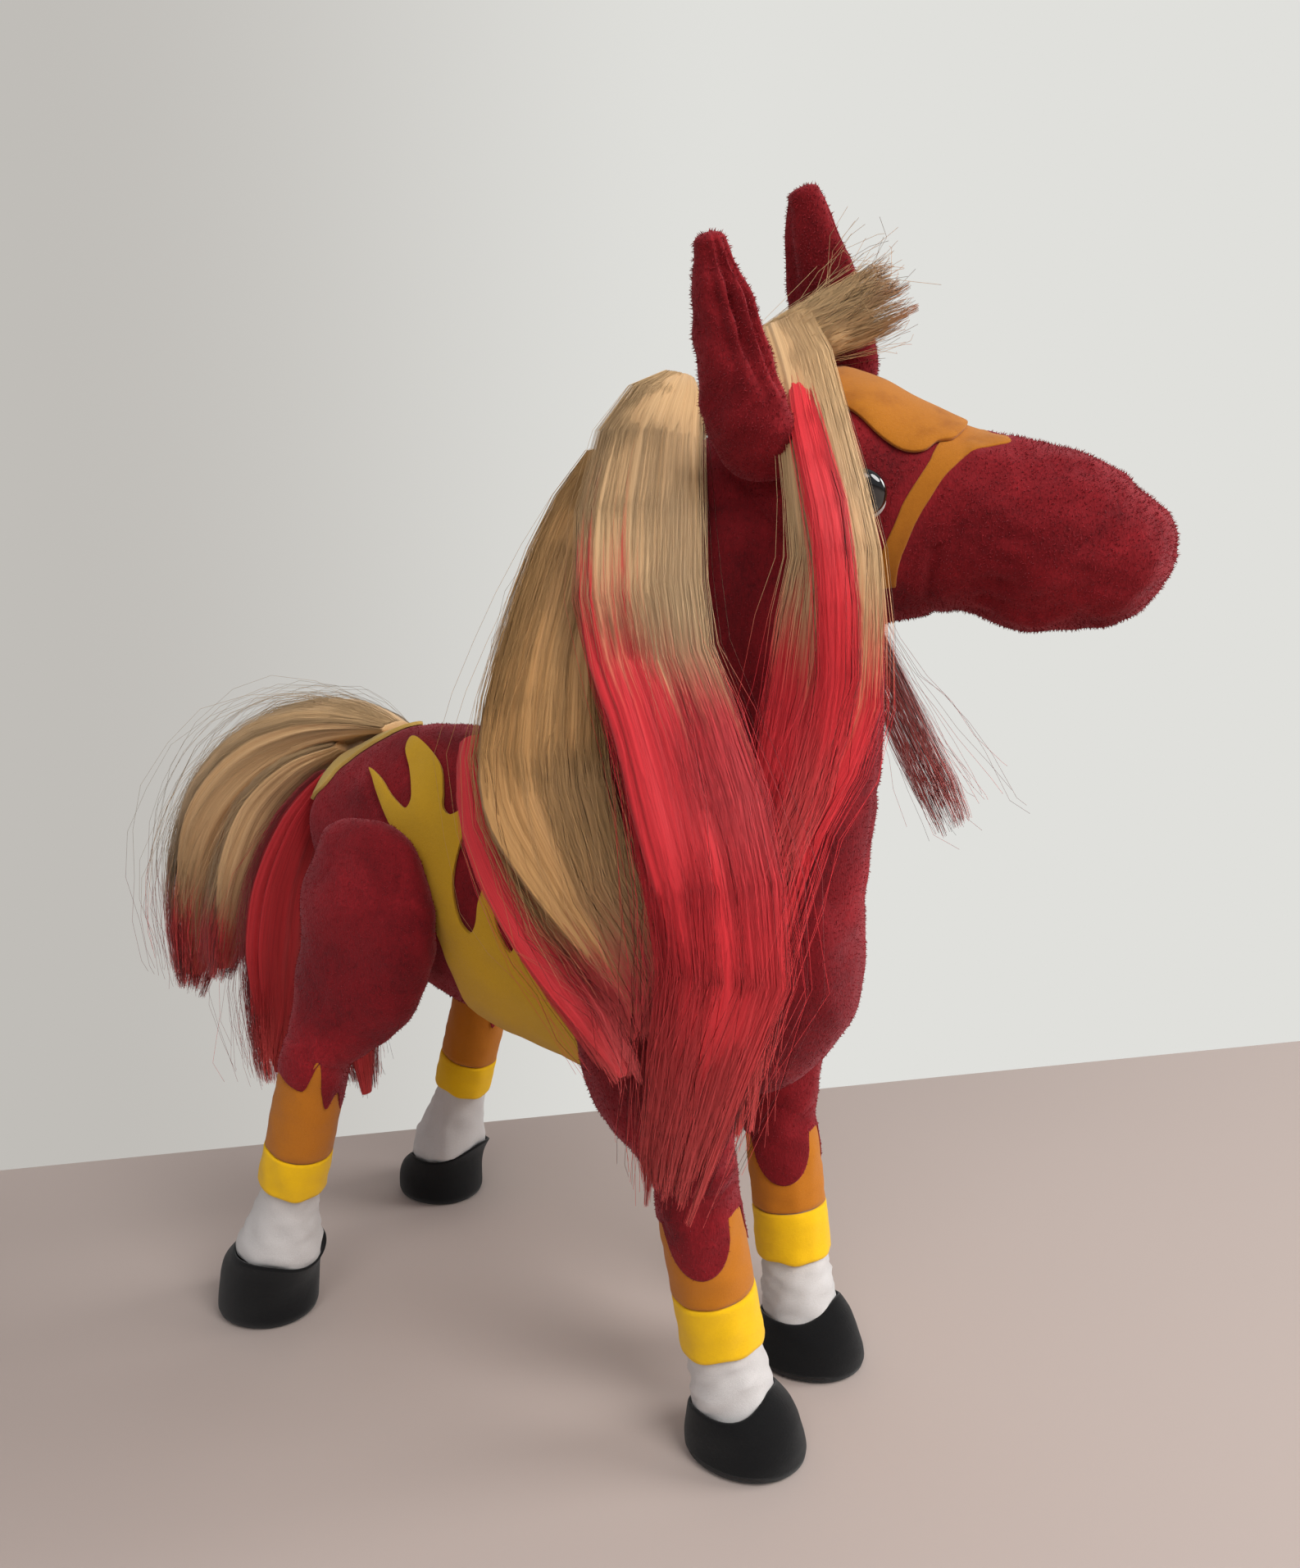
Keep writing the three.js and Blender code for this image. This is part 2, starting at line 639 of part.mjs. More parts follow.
// The hoof's length, width and place along the leg, up its height
const hoofShares = [
  { up: 0, size: 1, slide: 0 },
  { up: 0.3, size: 0.98, slide: -0.01 },
  { up: 0.65, size: 0.86, slide: -0.06 },
  { up: 1, size: 0.76, slide: -0.1 },
];

const scoopSlideShare = -0.1; // of the hoof's length, from the middle of its top
const scoopFootShare = 0.72; // of the hoof's height, up to the lowest of the scoop

const shankSides = 12;
const upperWireShares = { x: 0.35, y: 0.6, z: 0.55 }; // of the way down, at the middle of the wire
const tongueTurn = THREE.MathUtils.degToRad(68); // from straight ahead to the middle of a tongue
const legForms = [];
function makeLeg(kindName, sideName) {
  const kind = legKinds[kindName];
  const left = sideName === "left" ? 1 : -1;
  const name = (piece) => `${kindName}_${sideName}_${piece}`;
  const pivot = kind.line.clone().add(vec(0, left * padMiddle, 0));
  const bendPoint = vec(kind.bendAhead, left * kind.bendOut, kind.bendHeight);
  const upperHeight = pivot.z - bendPoint.z;
  const upperBody = bodyAt(pivot, trunkBody);
  const lowerBody = bodyAt(bendPoint, upperBody);
  const mix = THREE.MathUtils.lerp;

  // Thigh or shoulder
  const upperSections = kind.shares.map(({ down, ahead, deep, wide, out }) => ({
    at: vec(
      mix(pivot.x, bendPoint.x, Math.max(down, 0) ** 2) + ahead * upperHeight,
      mix(bendPoint.y, pivot.y, out),
      pivot.z - down * upperHeight,
    ),
    deep: mix(kind.bendRadius, kind.padDepth / 2, deep),
    wide: wide * mix(kind.bendRadius, padThickness / 2, out),
  }));
  const upperForm = (grow = 0) =>
    stuffed(upperSections, { sides: 14, rings: 9, grow, domes: [0.14 * upperHeight, 0.06 * upperHeight] });

  // Shank: it leans from the bend to the hoof, and its top is a ball about the bend.
  const hoofMiddle = vec(kind.hoofAhead, left * kind.hoofOut, 0);
  const atHeight = (z) => bendPoint.clone().lerp(hoofMiddle, 1 - z / bendPoint.z);
  const shankEnd = atHeight(shankFoot);
  const shankRadiusAt = (share) => shankRadius * smooth(shankShares, share);
  const shareAtHeight = (z) => (bendPoint.z - z) / (bendPoint.z - shankEnd.z);
  const shankSections = shankShares.map((_, i) => {
    const share = i / (shankShares.length - 1);
    const radius = shankRadiusAt(share);
    return { at: bendPoint.clone().lerp(shankEnd, share), deep: radius, wide: radius };
  });
  const shankForm = (grow = 0) =>
    stuffed(shankSections, { sides: shankSides, rings: 6, grow, domes: [shankRadius, 0], level: true });

  // A felt sleeve round the shank between two heights
  const sleeveGeometry = (low, high, inner, outer) => {
    const ringAt = (z, grow) => {
      const radius = shankRadiusAt(shareAtHeight(z)) + grow;
      return Array.from({ length: shankSides }, (_, k) => {
        const angle = (2 * Math.PI * k) / shankSides;
        return vec(-radius * Math.sin(angle), radius * Math.cos(angle), z).add(atHeight(z)).setZ(z);
      });
    };
    return skinOver([ringAt(low, outer), ringAt(high, outer), ringAt(high, inner), ringAt(low, inner)], true);
  };
  const sockTop = kind.bendHeight - sockDrop;
  const sockOuter = clearance + feltThickness;
  const sock = solidOf(sleeveGeometry(kind.sockFoot, sockTop, clearance, sockOuter));
  const bandTop = kind.sockFoot - clearance;
  const bandOuter = clearance + 1.3 * feltThickness;
  const band = solidOf(sleeveGeometry(bandTop - bandHeight, bandTop, clearance, bandOuter));

  // Hoof: a bag with a flat sole, its upper edge scooped on both sides into points at toe and heel
  const hoofSections = hoofShares.map(({ up, size, slide }) => ({
    at: vec(hoofMiddle.x + slide * hoofLength, hoofMiddle.y, up * hoofHeight),
    deep: (size * hoofLength) / 2,
    wide: (size * hoofWidth) / 2,
  }));
  const hoofForm = (grow = 0) => stuffed(hoofSections, { sides: 14, rings: 4, grow, level: true });
  const scoop = new THREE.CylinderGeometry(hoofScoopRadius, hoofScoopRadius, 2 * hoofWidth, 16);
  scoop.translate(
    hoofSections[3].at.x + scoopSlideShare * hoofLength,
    hoofMiddle.y,
    hoofScoopRadius + scoopFootShare * hoofHeight,
  );
  const hoof = solidOf(hoofForm()).subtract(solidOf(shankForm(clearance))).subtract(solidOf(scoop));

  // Wires
  const shankWirePoints = [atHeight(kind.bendHeight - wirePitch), atHeight(shankFoot + wirePitch)];
  const shankBore = wireBore(shankWirePoints, [above(bendPoint, 2 * shankRadius), shankWirePoints[0]]);
  const upperWirePoints = [
    above(pivot, -wirePitch),
    vec(...["x", "y", "z"].map((k) => mix(pivot[k], bendPoint[k], upperWireShares[k]))),
    above(bendPoint, shankRadius + wirePitch),
  ];
  const upperBore = wireBore(upperWirePoints, [pivot, upperWirePoints[0]], [upperWirePoints[2], bendPoint]);
  const crossBore = wireBore([kind.line, pivot.clone().add(vec(0, left * clearance, 0))]);

  const coverOuter = sockOuter + (kind.cuffed ? clearance + feltThickness : 0);
  const sockRun = sleeveGeometry(kind.sockFoot, sockTop, 0, coverOuter + runningClearance);
  const lowerForm = solidOf(shankForm(runningClearance)).add(solidOf(sockRun));
  const bends = anglesBetween(kind.bend[0], kind.bend[1], 4);
  const upper = solidOf(upperForm())
    .subtract(swept(trunkForm(padClearance), pivot, across, anglesBetween(-legSwing, legSwing, 5)))
    .subtract(swept(geometryOf(lowerForm), bendPoint, across, bends))
    .subtract(upperBore)
    .subtract(crossBore);

  // A cuff of plush round the top of the sock, with a rounded tongue on the outer and the inner side
  const addKneeCuff = () => {
    const half = kneeTongueWidth / 2;
    const foot = sockTop - clearance - kneeTongueLength + half;
    const shape = new THREE.Shape();
    shape.absarc(0, foot, half, -Math.PI, 0, false).lineTo(half, sockTop).lineTo(-half, sockTop);
    const tongues = [tongueTurn, -tongueTurn].map((turn) => {
      const facing = ahead.clone().applyAxisAngle(upright, turn);
      const tongue = new THREE.ExtrudeGeometry(shape, {
        depth: hoofLength,
        bevelEnabled: false,
        curveSegments: 8,
      });
      const turned = new THREE.Matrix4().makeBasis(upright.clone().cross(facing), upright, facing);
      return solidOf(tongue.applyMatrix4(turned).translate(atHeight(foot).x, atHeight(foot).y, 0));
    });
    const around = solidOf(
      new THREE.CylinderGeometry(hoofLength, hoofLength, 2 * kneeCuffHeight, 4)
        .rotateX(Math.PI / 2)
        .translate(bendPoint.x, bendPoint.y, sockTop),
    );
    const inner = sockOuter + clearance;
    const cloth = solidOf(sleeveGeometry(kind.sockFoot, sockTop - clearance, inner, inner + feltThickness));
    const cuff = cloth.intersect(tongues[0].add(tongues[1]).add(around));
    addPiece(lowerBody, name("knee_cuff"), cuff, materials.plush);
  };

  addPiece(upperBody, name(kind.upperName), upper, materials.plush);
  addPiece(upperBody, name("upper_wire"), wire(upperWirePoints), materials.galvanisedWire);
  addPiece(lowerBody, name("shank"), solidOf(shankForm()).subtract(shankBore), materials.whiteFelt);
  addPiece(lowerBody, name("shank_wire"), wire(shankWirePoints), materials.galvanisedWire);
  addPiece(lowerBody, name("orange_sock"), sock, materials.orangeFelt);
  addPiece(lowerBody, name("yellow_band"), band, materials.yellowFelt);
  addPiece(lowerBody, name("hoof"), hoof, materials.hoofFelt);
  if (kind.cuffed) addKneeCuff();
  legForms.push((grow) => solidOf(upperForm(grow)));
}

for (const kindName of ["front", "hind"]) {
  for (const sideName of ["left", "right"]) makeLeg(kindName, sideName);
}

// Tail: a plush dock on its own wire, with two switches of hair sewn round it
const tailBody = bodyAt(tailRoot, trunkBody);
const dockEnd = tailRoot.clone().add(vec(-dockLength, 0, 0.2 * dockLength));
const dockSections = [0, 0.5, 1].map((share) => {
  const radius = dockRadius * (1 - 0.15 * share);
  return { at: tailRoot.clone().lerp(dockEnd, share), deep: radius, wide: radius };
});
const dockForm = (grow = 0) =>
  stuffed(dockSections, { sides: 12, rings: 4, grow, domes: [dockRadius, dockRadius] });
const rumpPatch = feltOn(trunkForm, rumpPatchOutline(0)).subtract(
  swept(dockForm(clearance), tailRoot, across, anglesBetween(-tailLift, tailLift, 3)),
);
addPiece(trunkBody, "rump_patch", rumpPatch, materials.yellowFelt);
const lifts = anglesBetween(-tailLift, tailLift, 5);
const trunkLifted = swept(trunkForm(runningClearance), tailRoot, across, lifts);
const tailWirePoints = [tailRoot.clone().lerp(dockEnd, 0.6), tailRoot.clone().lerp(dockEnd, 1)];
addPiece(
  tailBody,
  "tail_dock",
  solidOf(dockForm()).subtract(trunkLifted).subtract(wireBore(tailWirePoints, [tailRoot, tailWirePoints[0]])),
  materials.plush,
);
addPiece(tailBody, "tail_wire", wire(tailWirePoints), materials.galvanisedWire);

// Hair. A lock is a flattened form along a path, with its tip drawn in.
const breadthShares = [0.4, 0.78, 1, 1, 0.9, 0.66, 0.2];
function lockForm(path, breadth, thickness, grow) {
  const last = path.length - 1;
  const sections = path.map((at, i) => {
    const size = smooth(breadthShares, i / last);
    return { at, deep: (breadth * size) / 2, wide: (thickness * Math.sqrt(size)) / 2 };
  });
  return stuffed(sections, { sides: 8, rings: path.length + 1, grow });
}
const manePlace = ([ahead, out, up]) =>
  vec(neckRoot.x + ahead * neckDepth, (out * neckWidth) / 2, neckRoot.z + up * neckRise);
const tailPlace = ([behind, out, up]) =>
  vec(-rumpBehind - behind * tailReach, (out * tailHairWidth) / 2, up * backHeight);

// Each lock's path from root to tip, in shares of the neck's depth, half width and rise, or of the tail's
// reach, half width and the back's height. Locks listed first lie on top of the later ones.
const locks = [
  {
    name: "forelock_long", body: headBody, breadthShare: 0.72, thicknessShare: 0.9, place: manePlace,
    pathShares: [
      [0.18, -0.3, 1.02], [0.36, -0.85, 0.86], [0.47, -1.25, 0.69], [0.51, -1.35, 0.51], [0.5, -1.45, 0.36],
      [0.46, -1.6, 0.2], [0.42, -1.9, 0], [0.4, -2.05, -0.2], [0.35, -2.05, -0.38],
    ],
  },
  {
    name: "forelock_tuft", body: headBody, breadthShare: 0.5, thicknessShare: 0.9, place: manePlace,
    pathShares: [[0.16, 0.1, 1.02], [0.3, 0.15, 1.05], [0.4, 0.15, 1.065], [0.52, 0.2, 1.09]],
  },
  {
    name: "mane_long", body: neckBody, breadthShare: 1, thicknessShare: 1, place: manePlace,
    pathShares: [
      [-0.06, -0.4, 0.98], [-0.12, -1, 0.83], [-0.09, -1.35, 0.67], [-0.05, -1.55, 0.45], [0.08, -1.8, 0.25],
      [0.22, -2.25, 0.07], [0.29, -2.4, -0.1], [0.29, -2.45, -0.31], [0.22, -2.4, -0.53],
    ],
  },
  {
    name: "mane_middle", body: neckBody, breadthShare: 1.05, thicknessShare: 0.9, place: manePlace,
    pathShares: [
      [-0.28, -0.4, 0.76], [-0.3, -1.2, 0.57], [-0.36, -1.6, 0.37], [-0.36, -1.85, 0.21], [-0.2, -2.2, 0.05],
      [0, -2.4, -0.11], [0.14, -2.4, -0.26],
    ],
  },
  {
    name: "mane_low", body: neckBody, breadthShare: 0.6, thicknessShare: 0.7, place: manePlace,
    pathShares: [
      [-0.7, -0.8, 0.28], [-0.63, -1.65, 0.19], [-0.4, -2.25, 0.02], [-0.11, -2.4, -0.16], [0.1, -2.4, -0.27],
    ],
  },
  {
    name: "mane_far", body: neckBody, breadthShare: 0.34, thicknessShare: 0.6, place: manePlace,
    pathShares: [[-0.04, 0.4, 0.9], [0.2, 1.15, 0.7], [0.38, 1.45, 0.5], [0.5, 1.6, 0.3], [0.62, 1.75, 0.1]],
  },
  {
    name: "mane_crest", body: neckBody, breadthShare: 0.86, thicknessShare: 1.5, place: manePlace,
    pathShares: [
      [0, 0, 0.98], [-0.26, -0.05, 0.82], [-0.42, -0.15, 0.6], [-0.52, -0.25, 0.4], [-0.6, -0.3, 0.28],
    ],
  },
  {
    name: "tail_hair_blond", body: tailBody, breadthShare: 0.8, thicknessShare: 4, place: tailPlace,
    pathShares: [
      [-0.02, 0, 0.93], [0.1, 0, 0.96], [0.28, 0, 0.93], [0.46, 0, 0.83],
      [0.6, 0, 0.69], [0.72, 0, 0.53], [0.82, 0, 0.34],
    ],
  },
  {
    name: "tail_hair_red", body: tailBody, breadthShare: 1, thicknessShare: 4.4, place: tailPlace,
    pathShares: [[0.06, 0, 0.86], [0.14, -0.1, 0.68], [0.19, -0.1, 0.48], [0.22, -0.05, 0.32], [0.2, 0, 0.2]],
  },
  {
    name: "tail_hair_red_far", body: tailBody, breadthShare: 0.6, thicknessShare: 2, place: tailPlace,
    pathShares: [[0.06, 0.3, 0.8], [0.08, 0.7, 0.6], [0.06, 0.85, 0.42], [0.02, 0.9, 0.22]],
  },
];

const bodySolids = (grow) => [
  solidOf(trunkForm(grow)),
  solidOf(neckForm(grow)),
  solidOf(headForm(grow)),
  solidOf(earForm(1, grow)),
  solidOf(earForm(-1, grow)),
  solidOf(eyeForm(-1, grow)),
  solidOf(dockForm(grow)),
  ...legForms.map((form) => form(grow)),
];
const feltCover = (form, outline) =>
  solidOf(geometryOf(solidOf(form(clearance + feltThickness + clearance)).intersect(outline)));
const hairCutters = [
  ...bodySolids(clearance),
  feltCover(trunkForm, rumpPatchOutline(2 * clearance)),
  rolledSolid(feltCover(headFormUpright, blazeOutline(2 * clearance))),
  rolledSolid(feltCover(headFormUpright, strapOutline(strapWidth / 2 + clearance, -strapLength - clearance))),
];
for (const { name, body, breadthShare, thicknessShare, place, pathShares } of locks) {
  const path = pathShares.map(place);
  const breadth = breadthShare * lockWidth;
  const form = (grow) => solidOf(lockForm(path, breadth, thicknessShare * lockThickness, grow));
  const lock = hairCutters.reduce((rest, cutter) => rest.subtract(cutter), form(0));
  addPiece(body, name, lock, /red|far/.test(name) ? materials.redHair : materials.blondHair);
  hairCutters.push(form(clearance));
}

export default horse;
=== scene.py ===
"""A plush horse with a bendable wire frame: its sewn plush, felt trim, button eyes and combed hair."""
import math

import bmesh
import bpy
import numpy as np
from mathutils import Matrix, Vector
from mathutils.bvhtree import BVHTree
from mathutils.geometry import delaunay_2d_cdt


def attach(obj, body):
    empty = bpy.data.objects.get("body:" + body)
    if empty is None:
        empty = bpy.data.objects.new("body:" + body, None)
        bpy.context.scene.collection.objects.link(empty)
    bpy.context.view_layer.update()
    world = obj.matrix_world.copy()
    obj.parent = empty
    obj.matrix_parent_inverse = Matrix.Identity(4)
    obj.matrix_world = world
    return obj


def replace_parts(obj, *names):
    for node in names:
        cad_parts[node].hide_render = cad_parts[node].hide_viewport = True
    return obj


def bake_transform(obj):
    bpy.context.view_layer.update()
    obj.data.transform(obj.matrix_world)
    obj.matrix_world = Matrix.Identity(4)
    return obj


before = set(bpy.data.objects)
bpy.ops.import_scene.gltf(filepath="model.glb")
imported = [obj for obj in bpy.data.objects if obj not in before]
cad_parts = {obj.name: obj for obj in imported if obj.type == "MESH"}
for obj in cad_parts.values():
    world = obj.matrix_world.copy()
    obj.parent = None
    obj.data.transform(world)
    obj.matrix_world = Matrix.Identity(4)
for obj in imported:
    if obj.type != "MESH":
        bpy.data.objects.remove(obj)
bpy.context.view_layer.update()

MM = 0.001
STANCE = np.array([2.2, 1.2, 0.0])  # from the frame's origin to the middle of the stance, in millimetres
FELT = 1.1  # thickness, in millimetres
BAND_GAP = 0.3  # between a sock and the yellow band under it


def place(points):
    """Millimetres from the middle of the stance, as metres in the frame."""
    return (np.asarray(points, float) + STANCE) * MM


def bend_between(piece, near_body, far_body, start, end):
    """Bakes the piece's placement into its points; the bodies and places it is given are not used."""
    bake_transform(piece)


# Camera and lamps

PHOTO_TALL, FOCAL_LENGTH = 1913, 1400  # pixels
SENSOR = 24.0
CAMERA_SPOT = (196.6, -274.2, 228.0)
CAMERA_HEADING = (-0.5, 0.866)
CAMERA_PITCH = math.radians(9.59)


def build_camera():
    data = bpy.data.cameras.new("camera")
    data.sensor_fit = "VERTICAL"
    data.sensor_height = SENSOR
    data.lens = SENSOR * FOCAL_LENGTH / PHOTO_TALL
    data.clip_start = 0.01
    camera = show("camera", data)
    level = math.cos(CAMERA_PITCH)
    look = Vector((CAMERA_HEADING[0] * level, CAMERA_HEADING[1] * level, -math.sin(CAMERA_PITCH)))
    camera.rotation_euler = look.to_track_quat("-Z", "Y").to_euler()
    camera.location = place(CAMERA_SPOT)
    bpy.context.scene.camera = camera


def area_lamp(name, spot, target, size, watts, colour):
    data = bpy.data.lights.new(name, "AREA")
    data.shape = "DISK"
    data.size = size
    data.energy = watts
    data.color = colour
    lamp = show(name, data)
    lamp.location = spot
    lamp.rotation_euler = (Vector(target) - Vector(spot)).to_track_quat("-Z", "Y").to_euler()


# Meshes

def smooth(table, t):
    """A smooth line through the rows of a table, read at the shares t of its length."""
    table = np.asarray(table, float)
    if table.ndim == 1:
        table = table[:, None]
    last = len(table) - 1
    spot = np.clip(np.atleast_1d(t), 0, 1) * last
    i = np.minimum(spot.astype(int), last - 1)
    u = (spot - i)[:, None]
    a, b, c, d = (table[np.clip(i + k, 0, last)] for k in (-1, 0, 1, 2))
    return (2 * b + (c - a) * u + (2 * a - 5 * b + 4 * c - d) * u**2 + (3 * b - a - 3 * c + d) * u**3) / 2


def unit(vectors):
    return vectors / np.maximum(np.linalg.norm(vectors, axis=-1, keepdims=True), 1e-12)


WAVES = 12


def ripple(points, size, seed):
    """Soft lumps, mostly from -1 to 1 and about size across, the same each time for a seed."""
    rng = np.random.default_rng(seed)
    waves = unit(rng.normal(size=(WAVES, 3))) * 2 * np.pi / size * rng.uniform(0.6, 1.5, (WAVES, 1))
    return np.sin(points @ waves.T + rng.uniform(0, 2 * np.pi, WAVES)).sum(1) / np.sqrt(WAVES)


def round_turn(sides):
    return np.linspace(0, 2 * np.pi, sides, endpoint=False)


def grid_faces(rows, sides):
    """Faces between closed rings, with a fan to a middle point at each end."""
    r, k = np.meshgrid(np.arange(rows - 1), np.arange(sides), indexing="ij")
    n = (k + 1) % sides
    faces = np.stack([r * sides + k, r * sides + n, (r + 1) * sides + n, (r + 1) * sides + k], -1)
    faces = faces.reshape(-1, 4).tolist()
    first, last = rows * sides, rows * sides + 1
    for side in range(sides):
        after = (side + 1) % sides
        faces.append([first, after, side])
        faces.append([last, (rows - 1) * sides + side, (rows - 1) * sides + after])
    return faces


def closed_rings(rings):
    """Vertices and faces of a skin over an array of rings, closed at both ends."""
    rows, sides = rings.shape[:2]
    ends = np.stack([rings[0].mean(0), rings[-1].mean(0)])
    return np.concatenate([rings.reshape(-1, 3), ends]), grid_faces(rows, sides)


DOME_STEPS = 9
LOOK_ASIDE = 0.01  # share of a loft's length over which its direction is taken


def loft(stations, sides, rows, domes, shape=None, guide=(0, 1, 0)):
    """A skin along stations of x, y, z, half depth and half width, with a dome of a given height at each end.

    The width lies along the guide."""
    stations = np.asarray(stations, float)
    turn = np.linspace(0, np.pi / 2, DOME_STEPS)
    shares = [(0, -domes[0] * math.cos(a), math.sin(a)) for a in turn[1:-1]]
    shares += [(t, 0, 1) for t in np.linspace(0, 1, rows)]
    shares += [(1, domes[1] * math.cos(a), math.sin(a)) for a in turn[::-1][1:-1]]
    t, push, shrink = np.array(shares).T
    line = stations[:, :3]
    tangent = unit(smooth(line, np.minimum(t + LOOK_ASIDE, 1)) - smooth(line, np.maximum(t - LOOK_ASIDE, 0)))
    guide = np.array(guide, float)
    side = unit(guide - tangent * (tangent @ guide)[:, None])
    up = np.cross(tangent, side)
    size = smooth(stations[:, 3:], t) * shrink[:, None]
    angle = round_turn(sides)
    fullness = np.ones((len(t), sides)) if shape is None else shape(angle[None, :], t[:, None])
    middle = smooth(line, t) + tangent * push[:, None]
    rings = (
        middle[:, None]
        + side[:, None] * (np.cos(angle) * fullness * size[:, 1:2])[..., None]
        + up[:, None] * (np.sin(angle) * fullness * size[:, 0:1])[..., None]
    )
    return closed_rings(rings)


def show(name, data):
    """A new object in the scene."""
    made = bpy.data.objects.new(name, data)
    bpy.context.scene.collection.objects.link(made)
    return made


def mesh_piece(name, points, faces, placed=False):
    """A shown object. Its points are metres in the frame if placed, else as place takes them."""
    mesh = bpy.data.meshes.new(name)
    spots = points if placed else place(points)
    mesh.from_pydata(spots.tolist(), [], faces)
    mesh.validate()
    return show(name, mesh)


def face_out(piece):
    """Turns the faces of a closed mesh outwards."""
    work = bmesh.new()
    work.from_mesh(piece.data)
    bmesh.ops.remove_doubles(work, verts=work.verts, dist=1e-7)
    bmesh.ops.recalc_face_normals(work, faces=work.faces)
    if work.calc_volume(signed=True) < 0:
        bmesh.ops.reverse_faces(work, faces=work.faces)
    work.to_mesh(piece.data)
    work.free()
    return piece


def evaluated(piece):
    """The piece with its modifiers applied."""
    graph = bpy.context.evaluated_depsgraph_get()
    mesh = bpy.data.meshes.new_from_object(piece.evaluated_get(graph))
    mesh.name = piece.name
    piece.modifiers.clear()
    old, piece.data = piece.data, mesh
    bpy.data.meshes.remove(old)
    return piece


def modify(piece, kind, **settings):
    modifier = piece.modifiers.new(kind.lower(), kind)
    for key, value in settings.items():
        setattr(modifier, key, value)


def fuse(name, parts, grain, relax):
    """One skin over overlapping closed forms, with soft valleys where they meet."""
    points, faces, start = [], [], 0
    for spots, sides in parts:
        points.append(spots)
        faces += [[i + start for i in face] for face in sides]
        start += len(spots)
    piece = face_out(mesh_piece(name, np.concatenate(points), faces))
    modify(piece, "REMESH", mode="VOXEL", voxel_size=grain * MM)
    modify(piece, "SMOOTH", iterations=relax, factor=0.5)
    return evaluated(piece)


def spots_of(piece):
    spots = np.empty(len(piece.data.vertices) * 3)
    piece.data.vertices.foreach_get("co", spots)
    return spots.reshape(-1, 3)


def normals_of(piece):
    normals = np.empty(len(piece.data.vertices) * 3)
    piece.data.vertex_normals.foreach_get("vector", normals)
    return normals.reshape(-1, 3)


def set_spots(piece, spots):
    piece.data.vertices.foreach_set("co", spots.ravel())
    piece.data.update()


def swell(piece, heights):
    """Moves each point out along its normal by its height in millimetres."""
    set_spots(piece, spots_of(piece) + normals_of(piece) * np.asarray(heights)[:, None] * MM)


def soften(piece):
    piece.data.polygons.foreach_set("use_smooth", [True] * len(piece.data.polygons))


def store(mesh, name, values):
    mesh.attributes.new(name, "FLOAT", "POINT").data.foreach_set("value", np.ravel(values).astype(np.float32))


def surface_of(piece):
    """A search tree over the piece's faces."""
    spots = spots_of(piece)
    faces = [tuple(face.vertices) for face in piece.data.polygons]
    return BVHTree.FromPolygons([tuple(p) for p in spots], faces)


# Node trees for finishes and for what repeats

class Value:
    """A socket that takes part in sums."""

    def __init__(self, graph, socket):
        self.graph, self.socket = graph, socket

    def __add__(self, other):
        return self.graph.op("ADD", self, other)

    __radd__ = __add__

    def __sub__(self, other):
        return self.graph.op("SUBTRACT", self, other)

    def __rsub__(self, other):
        return self.graph.op("SUBTRACT", other, self)

    def __mul__(self, other):
        return self.graph.op("MULTIPLY", self, other)

    __rmul__ = __mul__

    def __truediv__(self, other):
        return self.graph.op("DIVIDE", self, other)

    def __rtruediv__(self, other):
        return self.graph.op("DIVIDE", other, self)

    def __pow__(self, other):
        return self.graph.op("POWER", self, other)

    def clamped(self, low, high):
        """0 below low, 1 above high and a soft step between them."""
        settings = {"interpolation_type": "SMOOTHSTEP"}
        sockets = {"Value": self, "From Min": low, "From Max": high}
        return self.graph.add("ShaderNodeMapRange", settings, sockets)["Result"]


class Node:
    """A node whose outputs are read by name or identifier."""

    def __init__(self, graph, node):
        self.graph, self.node = graph, node

    def __getitem__(self, key):
        return Value(self.graph, find_socket(self.node.outputs, key))


def find_socket(sockets, key):
    if isinstance(key, int):
        return sockets[key]
    for socket in sockets:
        if socket.identifier == key:
            return socket
    return next(socket for socket in sockets if socket.name == key and socket.enabled)


class Graph:
    """A node tree that is written one node at a time."""

    def __init__(self, tree):
        self.tree = tree

    def op(self, operation, *values):
        return self.add("ShaderNodeMath", {"operation": operation}, dict(enumerate(values)))["Value"]

    def add(self, kind, settings=None, sockets=None):
        node = self.tree.nodes.new(kind)
        for key, value in (settings or {}).items():
            setattr(node, key, value)
        for key, value in (sockets or {}).items():
            socket = find_socket(node.inputs, key)
            if isinstance(value, Value):
                self.tree.links.new(value.socket, socket)
            elif value is not None:
                socket.default_value = value
        return Node(self, node)

    def mix(self, factor, first, second):
        """The colour between first and second."""
        sockets = {"Factor_Float": factor, "A_Color": first, "B_Color": second}
        return self.add("ShaderNodeMix", {"data_type": "RGBA"}, sockets)["Result_Color"]

    def vector(self, operation, first, second=None, scale=None):
        sockets = {0: first}
        if second is not None:
            sockets[1] = second
        if scale is not None:
            sockets["Scale"] = scale
        output = "Value" if operation == "DOT_PRODUCT" else "Vector"
        return self.add("ShaderNodeVectorMath", {"operation": operation}, sockets)[output]

    def noise(self, coordinates, scale, detail=2.0, rough=0.5, warp=0.0):
        sockets = {"Vector": coordinates, "Scale": scale, "Detail": detail, "Roughness": rough,
                   "Distortion": warp}
        return self.add("ShaderNodeTexNoise", {}, sockets)["Fac"]

    def point(self, *values):
        """A place whose x, y and z are the values."""
        return self.add("ShaderNodeCombineXYZ", {}, dict(enumerate(values)))["Vector"]


def rgb(*levels):
    """A colour as it shows on a screen, 0 to 255, turned into light by the sRGB curve."""
    return tuple(((v / 255 + 0.055) / 1.055) ** 2.4 if v > 10 else v / 255 / 12.92 for v in levels) + (1.0,)


